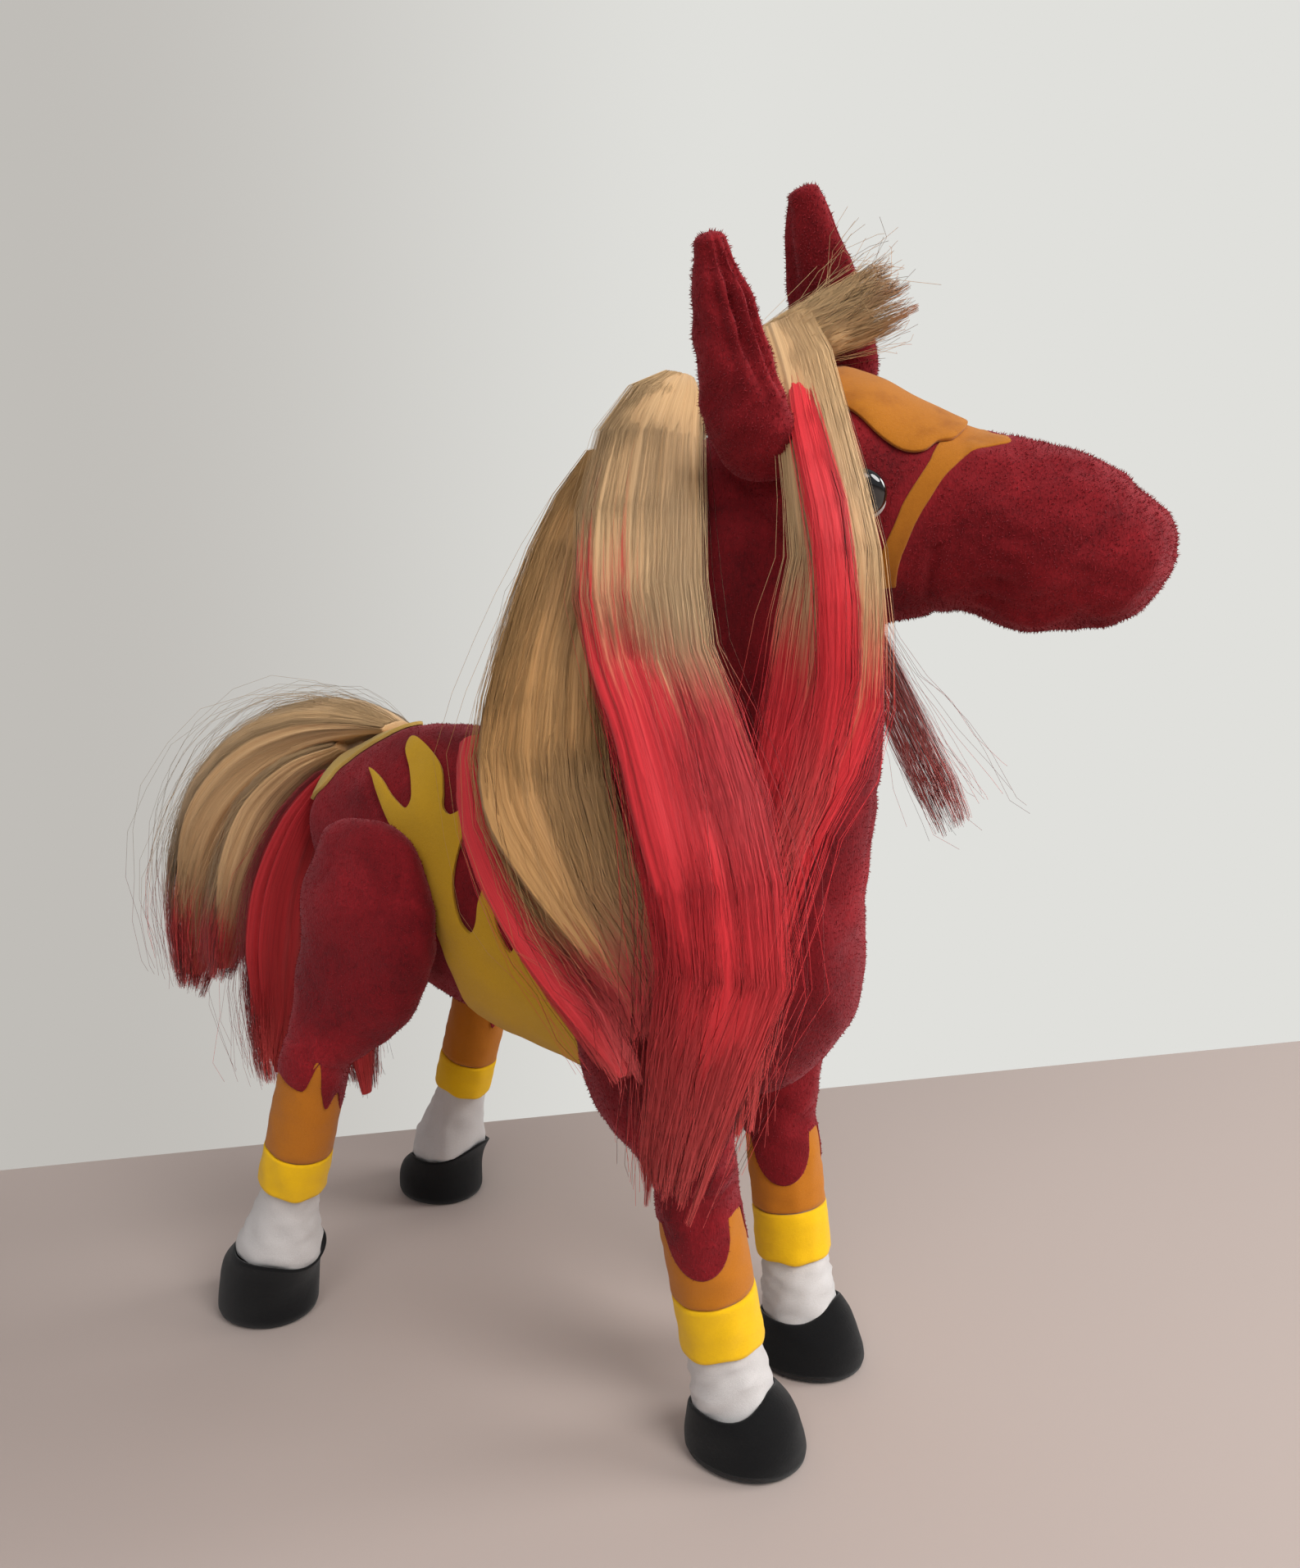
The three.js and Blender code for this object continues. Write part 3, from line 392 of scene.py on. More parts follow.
def finish_of(name, paint, **fixed):
    """A material. paint returns the base colour, the roughness and the bump's height, depth and strength."""
    material = bpy.data.materials.new(name)
    material.use_nodes = True
    material.node_tree.nodes.clear()
    graph = Graph(material.node_tree)
    look = paint(graph)
    sockets = {"Base Color": look["colour"], "Roughness": look["roughness"], **fixed}
    if "height" in look:
        bump = {"Strength": look["strength"], "Distance": look["depth"] * MM, "Height": look["height"],
                "Normal": look.get("facing")}
        sockets["Normal"] = graph.add("ShaderNodeBump", {}, bump)["Normal"]
    surface = graph.add("ShaderNodeBsdfPrincipled", {}, sockets)["BSDF"]
    graph.add("ShaderNodeOutputMaterial", {}, {"Surface": surface})
    return material


def own_place(graph):
    return graph.add("ShaderNodeTexCoord")["Object"]


def plush_paint(deep, middle, lit_nap):
    """Short pile: its nap lies one way in some patches and another way in others. The lighter patches are
    painted sheen where the nap catches the light and the darker ones painted shade; the curls and fibres are
    the pile's own mottle.
    """

    def paint(graph):
        where = own_place(graph)
        patches = graph.noise(where, 38.0, detail=3.0, rough=0.6, warp=0.6).clamped(0.3, 0.7)
        curls = graph.noise(where, 420.0, detail=3.0, rough=0.7, warp=1.6)
        lying = graph.vector("MULTIPLY", where, (1.0, 1.0, 0.35))
        fibres = graph.noise(lying, 2400.0, rough=0.6)
        # Painted sheen and shade: the nap's patches, mixed with the pile's own curls and fibres
        shade = patches * 0.4 + curls * 0.45 + fibres * 0.5 - 0.22
        low = graph.mix(shade.clamped(0.0, 0.5), rgb(*deep), rgb(*middle))
        return {
            "colour": graph.mix(shade.clamped(0.42, 0.95), low, rgb(*lit_nap)),
            "roughness": 0.75 + curls * 0.2,
            "height": curls * 0.7 + fibres * 0.6, "depth": 0.55, "strength": 0.7,
        }

    return paint


def felt_paint(colour, shadow, stain_and_shade=0.12):
    """Pressed felt: short fibres every way, with a few darker flecks. Its darker clouds are stains, and on the
    ochre felt, where they are strong, painted shade as well.
    """

    def paint(graph):
        where = own_place(graph)
        fibres = graph.noise(where, 1700.0, detail=4.0, rough=0.7, warp=1.5)
        cloud = graph.noise(where, 120.0, detail=3.0, rough=0.6)
        dark = (1 - cloud).clamped(0.45, 0.85) * stain_and_shade + fibres.clamped(0.35, 0.75) * 0.22
        return {
            "colour": graph.mix(dark, rgb(*colour), rgb(*shadow)), "roughness": 0.95,
            "height": fibres + cloud * 0.6, "depth": 0.3, "strength": 0.55,
        }

    return paint


# Painted light at the hair's tips: the colour they are painted towards, and how far
LIT_TIP_COLOUR, PAINTED_TIP_LIGHT = (255, 138, 128), 0.35


def hair_paint(root, tip, turn=0.5, slope=0.0, soft=0.1):
    """Combed hair. Root and tip are a light and a dark colour each, and one gives way to the other at turn.

    The slope moves the turn along from one edge of the lock to the other."""

    def paint(graph):
        def attribute(name, output="Fac"):
            return graph.add("ShaderNodeAttribute", {"attribute_name": name})[output]

        along, strand, clump = attribute("along"), attribute("strand"), attribute("clump")
        across, loose, out = attribute("across"), attribute("loose"), attribute("out", "Vector")
        fine = graph.point(strand * 260.0, along * 2.5, clump * 9.0)
        wide = graph.point(across * 5.0 + turn * 20, along * 0.7)
        streaks = graph.noise(fine, 1.0, detail=3.0, rough=0.7)
        bands = graph.noise(wide, 1.0, rough=0.6)
        shift = along + across * slope + (bands - 0.5) * 0.3 + (streaks - 0.5) * soft * 1.5
        turned = shift.clamped(turn - 0.04, turn + 0.1)
        light = graph.mix(turned, rgb(*root[0]), rgb(*tip[0]))
        dark = graph.mix(turned, rgb(*root[1]), rgb(*tip[1]))
        shade = (streaks * 0.8 + bands * 0.35).clamped(0.3, 0.85)
        # Painted light: the loose strands get less of the dark colour than the core, to make up for the shade
        # they cast on one another
        tone = graph.mix(shade * (1 - loose * 0.6), light, dark)
        # Painted light: the tips are painted paler and pinker, for light that scatters through the thin ends
        tone = graph.mix(along.clamped(0.66, 1.0) * PAINTED_TIP_LIGHT, tone, rgb(*LIT_TIP_COLOUR))
        # A strand is lit as part of its lock: it faces as the lock does there, and a little its own way
        spaces = {"vector_type": "VECTOR", "convert_from": "OBJECT", "convert_to": "WORLD"}
        out = graph.add("ShaderNodeVectorTransform", spaces, {"Vector": out})["Vector"]
        own = graph.vector("SCALE", graph.add("ShaderNodeNewGeometry")["Normal"], scale=0.4)
        return {
            "colour": tone, "roughness": 0.45, "height": streaks, "depth": 0.25, "strength": 0.4,
            "facing": graph.vector("NORMALIZE", graph.vector("ADD", out, own)),
        }

    return paint


def plain_paint(colour, roughness):
    def paint(graph):
        mottle = graph.noise(own_place(graph), 900.0)
        dark = [level * 0.8 for level in colour]
        return {"colour": graph.mix(mottle, rgb(*colour), rgb(*dark)), "roughness": roughness}

    return paint


velvet = {"Sheen Weight": 0.35, "Sheen Roughness": 0.45, "Sheen Tint": (1.0, 0.35, 0.4, 1),
          "Specular IOR Level": 0.15}
felted = {"Sheen Weight": 0.15, "Sheen Roughness": 0.5, "Specular IOR Level": 0.1}
combed = {"Specular IOR Level": 0.3, "Sheen Weight": 0.1}
glossy = {"Coat Weight": 1.0, "Coat Roughness": 0.03}

FELTS = {  # name, colour, its shadows and how strong its stains are, which for the ochre felt is painted shade as well
    "orange": ("orange felt", (194, 118, 31), (150, 80, 18)),
    # Painted shade: the ochre felt's strong dark clouds stand for shading on the blaze and strap, as well as
    # for stains
    "blaze": ("ochre felt", (176, 109, 31), (126, 66, 20), 0.5),
    "yellow": ("yellow felt", (248, 196, 24), (214, 150, 16)),
    "flame": ("mustard felt", (212, 164, 42), (166, 120, 28)),
    "patch": ("pale yellow felt", (206, 172, 92), (166, 130, 62)),
    "white": ("white felt", (212, 208, 206), (178, 170, 168)),
    "black": ("black felt", (21, 21, 22), (9, 9, 10)),
}
BLOND = ((232, 192, 142), (198, 154, 106))
TAN = ((218, 168, 108), (182, 130, 76))
STRAW = ((244, 204, 150), (214, 170, 118))
RED = ((246, 60, 68), (206, 40, 48))
DEEP_RED = ((208, 48, 54), (168, 33, 40))
ROSY = ((255, 150, 144), (250, 112, 112))
HAIRS = {  # name, colours at the root and the tip, then turn, slope and softness
    "forelock": ("forelock hair", BLOND, RED, 0.4, 0.02),
    "mane": ("mane hair", BLOND, RED, 0.37, 0.07),
    "mane_rear": ("rear mane hair", TAN, RED, 0.8, 0.05),
    "tail": ("tail hair", BLOND, RED, 0.7, 0.0, 0.25),
    "blond": ("blond hair", STRAW, BLOND, 0.6, 0.0, 0.3),
    "red": ("red hair", RED, RED),
    "streak": ("streaked hair", BLOND, RED, 0.12, 0.0, 0.2),
    "deep_red": ("deep red hair", DEEP_RED, RED, 0.8),
    "rosy": ("rosy hair", ROSY, ROSY, 0.5, 0.0, 0.3),
}
finishes = {
    "plush": finish_of("maroon plush", plush_paint((74, 11, 17), (122, 21, 28), (164, 35, 43)), **velvet),
    "pile": finish_of("maroon pile", plain_paint((142, 27, 36), 0.8), **velvet),
    "eye": finish_of("black gloss", plain_paint((10, 9, 9), 0.08), **glossy),
    "wire": finish_of("galvanised wire", plain_paint((150, 152, 155), 0.4), **{"Metallic": 0.9}),
}
for key, (name, *tones) in FELTS.items():
    finishes[key] = finish_of(name, felt_paint(*tones), **felted)
for key, (name, *tones) in HAIRS.items():
    finishes[key] = finish_of(name, hair_paint(*tones), **combed)


def dress(piece, finish):
    """Gives a piece its material, smooth shading and slot."""
    piece.data.materials.clear()
    piece.data.materials.append(finishes[finish])
    soften(piece)
    return piece


# Body: trunk and neck under one skin, with the tops of the four leg pads under it too

TRUNK = [  # ahead, top, bottom, width
    (-74.2, 178.4, 131.9, 36.5), (-52.9, 187.4, 113.2, 47.5), (-25.6, 188.0, 102.0, 52.4),
    (3.5, 186.5, 93.5, 54.0), (32.7, 188.0, 89.0, 54.0), (61.8, 188.0, 88.0, 52.4),
    (81.8, 181.4, 98.4, 45.4), (93.6, 169.2, 113.2, 32.4),
]
NECK = [  # ahead, height, half depth, half width
    (59.0, 128.0, 37.0, 22.0), (61.0, 150.5, 40.6, 23.2), (63.7, 195.2, 41.2, 22.3),
    (68.5, 225.0, 35.5, 20.4), (71.8, 245.4, 28.6, 18.2), (72.5, 258.9, 21.8, 16.1),
]
PADS = {
    "front": {
        "upper": "shoulder", "line": (61.0, 138.0), "bend": (68.0, 27.0, 71.07),
        "depth": 44.0, "radius": 10.8,
        "shares": [(-0.24, -0.02, 0.6, 0.62, 1), (0.02, 0, 0.97, 1, 1), (0.42, -0.06, 0.98, 1.04, 0.84),
                   (0.72, 0, 0.42, 1.02, 0.42), (0.9, 0.01, 0.08, 1, 0.08), (1, 0, 0, 1, 0)],
    },
    "hind": {
        "upper": "thigh", "line": (-40.0, 143.0), "bend": (-55.0, 41.0, 86.94),
        "depth": 50.0, "radius": 10.4,
        "shares": [(-0.2, 0.06, 0.5, 0.6, 1), (0.08, 0.04, 0.95, 1, 1), (0.35, 0.045, 0.92, 1.06, 0.96),
                   (0.6, 0.02, 0.62, 1.02, 0.7), (0.84, -0.01, 0.14, 1, 0.22), (1, 0, 0, 1, 0)],
    },
}
PAD_OUT, PAD_THICKNESS = 34.0, 21.0
SIDES = {"left": 1, "right": -1}
NECK_BEND = (52, 0, 150), (74, 0, 212)


def leg_stations(kind, left):
    """Rows of x, y, z, half depth, half width from the top of a pad to its knee or hock."""
    pad = PADS[kind]
    pivot = np.array([pad["line"][0], left * PAD_OUT, pad["line"][1]])
    bend = np.array(pad["bend"]) * (1, left, 1)
    tall = pivot[2] - bend[2]
    rows = []
    for down, ahead, deep, wide, out in pad["shares"]:
        share = max(down, 0) ** 2
        rows.append([
            pivot[0] + (bend[0] - pivot[0]) * share + ahead * tall,
            bend[1] + (pivot[1] - bend[1]) * out,
            pivot[2] - down * tall,
            pad["radius"] + (pad["depth"] / 2 - pad["radius"]) * deep,
            wide * (pad["radius"] + (PAD_THICKNESS / 2 - pad["radius"]) * out),
        ])
    return np.array(rows), pivot, bend, tall


def bag_forms():
    """The trunk and the neck as closed forms."""
    trunk = [(x, 0, (top + low) / 2, (top - low) / 2, wide / 2) for x, top, low, wide in TRUNK]
    neck = [(x, 0, z, deep, wide) for x, z, deep, wide in NECK]
    return [loft(trunk, 56, 60, (8.2, 6.4)), loft(neck, 48, 40, (6, 10.8))]


def body_lumps(spots):
    return 0.45 * ripple(spots, 42, 3) + 0.16 * ripple(spots, 12, 4)


def build_body():
    parts = bag_forms()
    # The tops of the pads, drawn in below so that the pads' own skins come out of the body's
    for kind in PADS:
        for left in SIDES.values():
            rows, _, _, tall = leg_stations(kind, left)
            shares = np.linspace(0, 0.5, 8)
            cover = smooth(rows, shares)
            cover[:, 3:] += np.linspace(0.8, -3.0, len(cover))[:, None]
            parts.append(loft(cover, 32, 16, (0.14 * tall + 0.8, 1)))
    body = fuse("body_skin", parts, 1.35, 14)
    spots = spots_of(body) / MM - STANCE
    x, y, z = spots.T
    lumps = body_lumps(spots)
    # The seam along back and belly, and two folds where the neck leans over the shoulders
    seam = -0.7 * np.exp(-((y / 1.1) ** 2)) * ((z > 150) | (z < 112))
    fold_height = 176 - 0.28 * (x - 70) + 2.5 * np.sin(x / 9)
    folds = -1.1 * np.exp(-(((z - fold_height) / 2.2) ** 2)) * (np.abs(x - 62) < 34)
    folds += -0.7 * np.exp(-(((z - fold_height - 13) / 2.6) ** 2)) * (x > 66)
    swell(body, lumps + seam + folds)
    dress(body, "plush")
    return body


body_skin = build_body()


def flank_surface():
    """The trunk's and neck's surface without the pads, for the felt that runs on under them."""
    flank = fuse("flank", bag_forms(), 1.6, 14)
    swell(flank, body_lumps(spots_of(flank) / MM - STANCE))
    tree = surface_of(flank)
    bpy.data.objects.remove(flank)
    return tree


body_surface = flank_surface()


# Head

POLL = np.array([72.5, 0.0, 258.9])
ROLL = math.radians(26)
HEAD = [  # ahead, height, half depth, half width
    (68.0, 256.6, 24.4, 18.2), (81.1, 249.6, 32.4, 23.0), (96.3, 246.2, 30.6, 24.0),
    (109.4, 244.0, 25.6, 22.1), (121.4, 242.6, 21.8, 18.9), (133.4, 241.1, 19.5, 17.4),
    (145.4, 236.5, 19.5, 17.4), (156.3, 230.1, 15.3, 14.8),
]


def rolled(points):
    """Points of the upright head, cocked to the horse's right about the poll."""
    points = np.asarray(points, float) - POLL
    c, s = math.cos(ROLL), math.sin(ROLL)
    turned = points.copy()
    turned[..., 1] = c * points[..., 1] - s * points[..., 2]
    turned[..., 2] = s * points[..., 1] + c * points[..., 2]
    return turned + POLL


def build_head():
    skull = loft([(x, 0, z, deep, wide) for x, z, deep, wide in HEAD], 56, 60, (10.9, 9.8))
    chin = loft([(124, 0, 228, 8, 12), (137, 0, 227.5, 11, 15), (150, 0, 226, 10, 12)], 32, 20, (8, 8))
    parts = [(rolled(points), faces) for points, faces in (skull, chin)]
    head = fuse("head_skin", parts, 1.1, 8)
    spots = spots_of(head) / MM - STANCE
    upright = spots - POLL
    c, s = math.cos(ROLL), math.sin(ROLL)
    out = c * upright[:, 1] + s * upright[:, 2]
    high = -s * upright[:, 1] + c * upright[:, 2] + POLL[2]
    ahead = spots[:, 0]
    lumps = 0.4 * ripple(spots, 26, 8) + 0.3 * ripple(spots, 7, 9) * (ahead > 125)
    jaw_seam = -0.9 * np.exp(-(((ahead - 116 - 0.25 * (high - 230)) / 1.3) ** 2)) * (high < 245)
    chin_seam = -0.6 * np.exp(-((out / 1.0) ** 2)) * (high < 235)
    swell(head, lumps + jaw_seam + chin_seam)
    dress(head, "plush")
    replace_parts(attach(head, "head"), "head")
    return head


head_skin = build_head()
head_surface = surface_of(head_skin)

EAR = [  # up, out, half depth, half thickness
    (0.0, 0.8, 9.2, 5.9), (0.18, 0.96, 10.8, 5.6), (0.4, 1.0, 10.2, 4.6), (0.72, 0.95, 8.2, 3.9),
    (1.0, 0.92, 3.9, 2.8),
]


def build_ear(side):
    left = SIDES[side]
    foot, tall, out = (82.0 if side == "right" else 85.4, 268.0), 48.0, 25.0
    slim = 0.86 if side == "right" else 1.0  # the horse's right ear is folded tighter
    rows = []
    for up, share, deep, wide in EAR:
        x, z = foot[0] - 0.06 * up * tall, foot[1] + up * tall
        rows.append((x, left * share * out, z, deep * (1 - up * (1 - slim)), wide))

    def folds(angle, t):
        """Lengthwise creases, which run out towards the rounded foot of the ear."""
        facing = -math.pi / 4 if left > 0 else 5 * math.pi / 4
        depth = 0
        for turn, cut, width in ((0.05, 0.5, 0.17), (0.62, 0.3, 0.13), (-0.6, 0.22, 0.2), (3.0, 0.16, 0.3)):
            away = np.angle(np.exp(1j * (angle - facing - turn - 0.1 * np.sin(6 * t + turn))))
            depth = depth + cut * np.exp(-((away / width) ** 2))
        return 1 - depth * np.clip((t - 0.34) / 0.34, 0, 1) ** 1.5 * np.clip((1.06 - t) / 0.25, 0, 1)

    points, faces = loft(rows, 72, 56, (4.8, 1.9), folds)
    ear = face_out(mesh_piece(f"ear_{side}_skin", rolled(points), faces))
    spots = spots_of(ear) / MM
    swell(ear, 0.3 * ripple(spots, 9, 20 + left))
    dress(ear, "plush")
    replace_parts(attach(ear, "head"), f"ear_{side}")
    return ear


ears = [build_ear(side) for side in SIDES]


def build_eye(side):
    left = SIDES[side]
    middle = np.array([104.6, left * 22.6, 259.6])

    def ball(shift, half):
        turn = np.linspace(0, np.pi, 25)[1:-1]
        angle = round_turn(40)
        rings = np.stack([
            np.outer(np.sin(turn), np.cos(angle)) * half[0],
            np.tile(np.cos(turn)[:, None], (1, len(angle))) * half[1],
            np.outer(np.sin(turn), np.sin(angle)) * half[2],
        ], -1)
        points, faces = closed_rings(rings)
        return rolled(points + middle + shift), faces

    eye = face_out(mesh_piece(f"eye_{side}_button", *ball((0, 0, 0), (6.4, 3.2, 5.9))))
    white = face_out(mesh_piece(f"eye_{side}_felt", *ball((0.0, -left * 0.4, -1.4), (5.9, 2.2, 5.4))))
    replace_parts(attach(dress(eye, "eye"), "head"), f"eye_{side}")
    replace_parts(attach(dress(white, "white"), "head"), f"eye_white_{side}")


for side in SIDES:
    build_eye(side)


# Felt laid on a form. An outline is drawn in distance ahead and in angle round the form from its top.

def rounded_outline(corners, steps):
    """A smooth closed line through the corners."""
    corners = np.asarray(corners, float)
    loop = np.concatenate([corners[-1:], corners, corners[:2]])
    shares = (1 + np.arange(len(corners) * steps) / steps) / (len(loop) - 1)
    return smooth(loop, shares)


def inside(points, outline):
    x, y = points.T
    hit = np.zeros(len(points), bool)
    for (x0, y0), (x1, y1) in zip(outline, np.roll(outline, -1, 0)):
        crosses = (y0 > y) != (y1 > y)
        hit ^= crosses & (x < (x1 - x0) * (y - y0) / (y1 - y0 + 1e-12) + x0)
    return hit


def flat_mesh(outline, pitch):
    """Triangles that fill an outline."""
    low, high = outline.min(0), outline.max(0)
    ahead, degrees = (np.arange(low[k], high[k], pitch) for k in (0, 1))
    grid = np.stack(np.meshgrid(ahead, degrees), -1).reshape(-1, 2)
    grid[:, 0] += 0.3 * pitch * np.sin(grid[:, 1] * 2.1)
    grid = grid[inside(grid, outline)]
    away = np.min(np.linalg.norm(grid[:, None] - outline[None], axis=2), 1)
    grid = grid[away > 0.6 * pitch]
    spots = np.concatenate([outline, grid])
    ring = [[i, (i + 1) % len(outline)] for i in range(len(outline))]
    found = delaunay_2d_cdt([Vector(p) for p in spots], ring, [list(range(len(outline)))], 1, 1e-6)
    return np.array([tuple(p) for p in found[0]]), [list(face) for face in found[2]]


FORMS = {  # skin under the felt, its surface, the line of its middles, and how far off it the felt lies
    "trunk": ("body_skin", body_surface, [(x, (top + low) / 2) for x, top, low, _ in TRUNK], 0.35),
    "head": ("head_skin", head_surface, [(x, z) for x, z, _, _ in HEAD], 0.3),
}
OUTSIDE = 0.12  # metres from a form's middle to a place beyond its skin


def lay_on(body, ahead, degrees):
    """Points on a form, seen from its own axis at an angle from the top towards the left."""
    _, surface, middles, lift = FORMS[body]
    heights = np.interp(ahead, *np.array(middles, float).T)
    placed = []
    for x, angle, z in zip(ahead, np.radians(degrees), heights):
        start = np.array([x, 0.0, z])
        aim = start + (0, math.sin(angle), math.cos(angle))
        if body == "head":
            start, aim = rolled(start), rolled(aim)
        start, aim = place(start), place(aim)
        way = Vector(aim - start).normalized()
        spot, normal, _, _ = surface.ray_cast(Vector(start) + way * OUTSIDE, -way)
        placed.append(tuple(spot + normal * lift * MM))
    return np.array(placed)


def cut_felt(corners, steps, squeeze, pitch):
    """Spots and triangles of a piece of felt. Squeeze makes a degree about as wide as a millimetre."""
    scale = np.array([1, squeeze])
    flat, faces = flat_mesh(rounded_outline(corners, steps) * scale, pitch)
    return flat / scale, faces


def lay_felt(name, body, cut, thickness, finish, node):
    """A sheet of felt glued on a form. Its flat size is in metres."""
    flat, faces = cut
    spots = lay_on(body, flat[:, 0], flat[:, 1])
    piece = mesh_piece(name, spots, faces, placed=True)
    modify(piece, "SOLIDIFY", thickness=thickness * MM, offset=1.0, use_even_offset=False)
    modify(piece, "BEVEL", width=0.28 * MM, segments=2, limit_method="ANGLE", angle_limit=1.2)
    dress(evaluated(piece), finish)
    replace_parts(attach(piece, body), node)


# The right flank's flames, from their rear edge at the belly round to their front one: ahead, degrees from top
FLAMES = [
    (-15, 178), (-15, 151), (-16, 137), (-18, 118), (-19.5, 98), (-23.5, 80), (-30, 71), (-36, 61),
    (-41.5, 50), (-46, 41), (-49.5, 35), (-42.5, 40), (-36.5, 47), (-30.5, 51), (-28.5, 46), (-30.5, 38),
    (-33.5, 31), (-38, 23), (-38.5, 16), (-32.5, 18.5), (-26.5, 23), (-21, 29), (-18, 38), (-16.5, 45),
    (-13, 47), (-8, 40), (-3, 31), (0.5, 24), (0, 33), (-3.5, 44), (-7.5, 53), (-9.5, 66), (-10, 83),
    (-9, 97), (-7, 106), (-4.5, 109), (-2.2, 101), (-1.2, 89), (0.8, 76), (2.5, 64), (3.8, 78), (4.6, 96),
    (6.2, 108), (8.8, 114), (11.5, 104), (14.5, 84), (18, 70), (21.5, 84), (24.5, 104), (28, 116),
    (33, 106), (37, 122), (40, 142), (41, 160), (41, 178),
]


def build_flames():
    right = [(x, -angle) for x, angle in FLAMES]
    left = [(x, angle - 360) for x, angle in reversed(FLAMES)]
    cut = cut_felt(right + left, 4, 0.66, 2.0)
    lay_felt("belly_flames_felt", "trunk", cut, FELT, "flame", "belly_flames")


def build_rump_patch():
    edge = [(-78, 66), (-73, 58), (-69.5, 46), (-67, 32), (-61, 22), (-54.5, 15), (-48, 7.5), (-45, 0)]
    rear = [(-79.5, -40), (-80, 0), (-79.5, 40)]
    cut = cut_felt(edge + [(x, -angle) for x, angle in reversed(edge[:-1])] + rear, 5, 0.5, 2.0)
    lay_felt("rump_patch_felt", "trunk", cut, FELT, "patch", "rump_patch")


STRAP_LINE = {0: 123.6, 15: 122.8, 32: 120.6, 45: 118, 60: 115, 76: 112.4, 90: 110, 126: 106}  # angle: ahead
STRAP_END = 114  # degrees from the top of the head
STRAP_ROWS = 7


def build_strap():
    """The cheek strap, which is widest over the muzzle."""
    angles = np.linspace(-STRAP_END, STRAP_END, 115)
    half = 2.2 + 1.4 * np.exp(-((angles / 30) ** 2)) + 3.4 * np.exp(-((angles / 13) ** 2))
    middle = np.interp(np.abs(angles), list(STRAP_LINE), list(STRAP_LINE.values()))
    middle = middle + 2.4 * np.exp(-((angles / 13) ** 2))
    half *= 1 + 0.05 * np.sin(angles / 5)
    ahead = middle[:, None] + half[:, None] * np.linspace(-1, 1, STRAP_ROWS)[None]
    flat = np.stack([ahead.ravel(), np.repeat(angles, STRAP_ROWS)], 1)
    faces = []
    for i in range(len(angles) - 1):
        for k in range(STRAP_ROWS - 1):
            here, after = i * STRAP_ROWS + k, (i + 1) * STRAP_ROWS + k
            faces.append([after, after + 1, here + 1, here])
    lay_felt("cheek_strap_felt", "head", (flat, faces), FELT + 0.3, "blaze",
             "cheek_strap")


def build_blaze():
    edge = [(80, 9), (87, 14), (94, 17), (101, 21), (107, 27.5), (112.5, 31), (116.5, 28), (118.6, 20),
            (121.5, 14), (122.5, 0)]
    cut = cut_felt([(x, -angle) for x, angle in edge] + edge[-2::-1], 5, 0.44, 1.6)
    lay_felt("blaze_felt", "head", cut, FELT, "blaze", "blaze")


build_flames()
build_rump_patch()
build_strap()
build_blaze()


# Legs

HOOF = {"front": (80.0, 22.0), "hind": (-80.0, 42.5)}  # ahead and out, of the sole's middle
SHANK_SHARES = [1, 1.02, 1.04, 1.05, 1.19, 1.24]  # of the radius, from the knee or hock down
SHANK_RADIUS, SHANK_FOOT = 9.1, 6.2
SOCK_FOOT = {"front": 46.05, "hind": 58.95}  # height of the sock's lower edge
SOCK_DROP = 4.0  # from the knee or hock down to the sock's upper edge
TUBE_SIDES = 72
TUBE_GAP = 0.3  # between the white tube and the felt over it
BAND_HEIGHT = {"front": 14.6, "hind": 12.6}
HOOF_RIM = {  # its height at the toe, on the sides and at the heel
    "front_right": (19.8, 15.0, 10.8), "front_left": (19.8, 15.0, 11.5),
    "hind_right": (19.4, 23.6, 23.2), "hind_left": (23.5, 18.5, 13.0),
}
HOOF_HALF = {"front": (18.0, 15.3), "hind": (16.9, 14.6)}  # half its length and half its width


def away_from(angle, middle):
    """The turn from middle to angle, from half a turn back to half a turn on, in radians."""
    return np.angle(np.exp(1j * (angle - middle)))


def near(angle, middle, width):
    """A soft bump round an angle, in radians."""
    return np.exp(-((away_from(angle, middle) / width) ** 2))


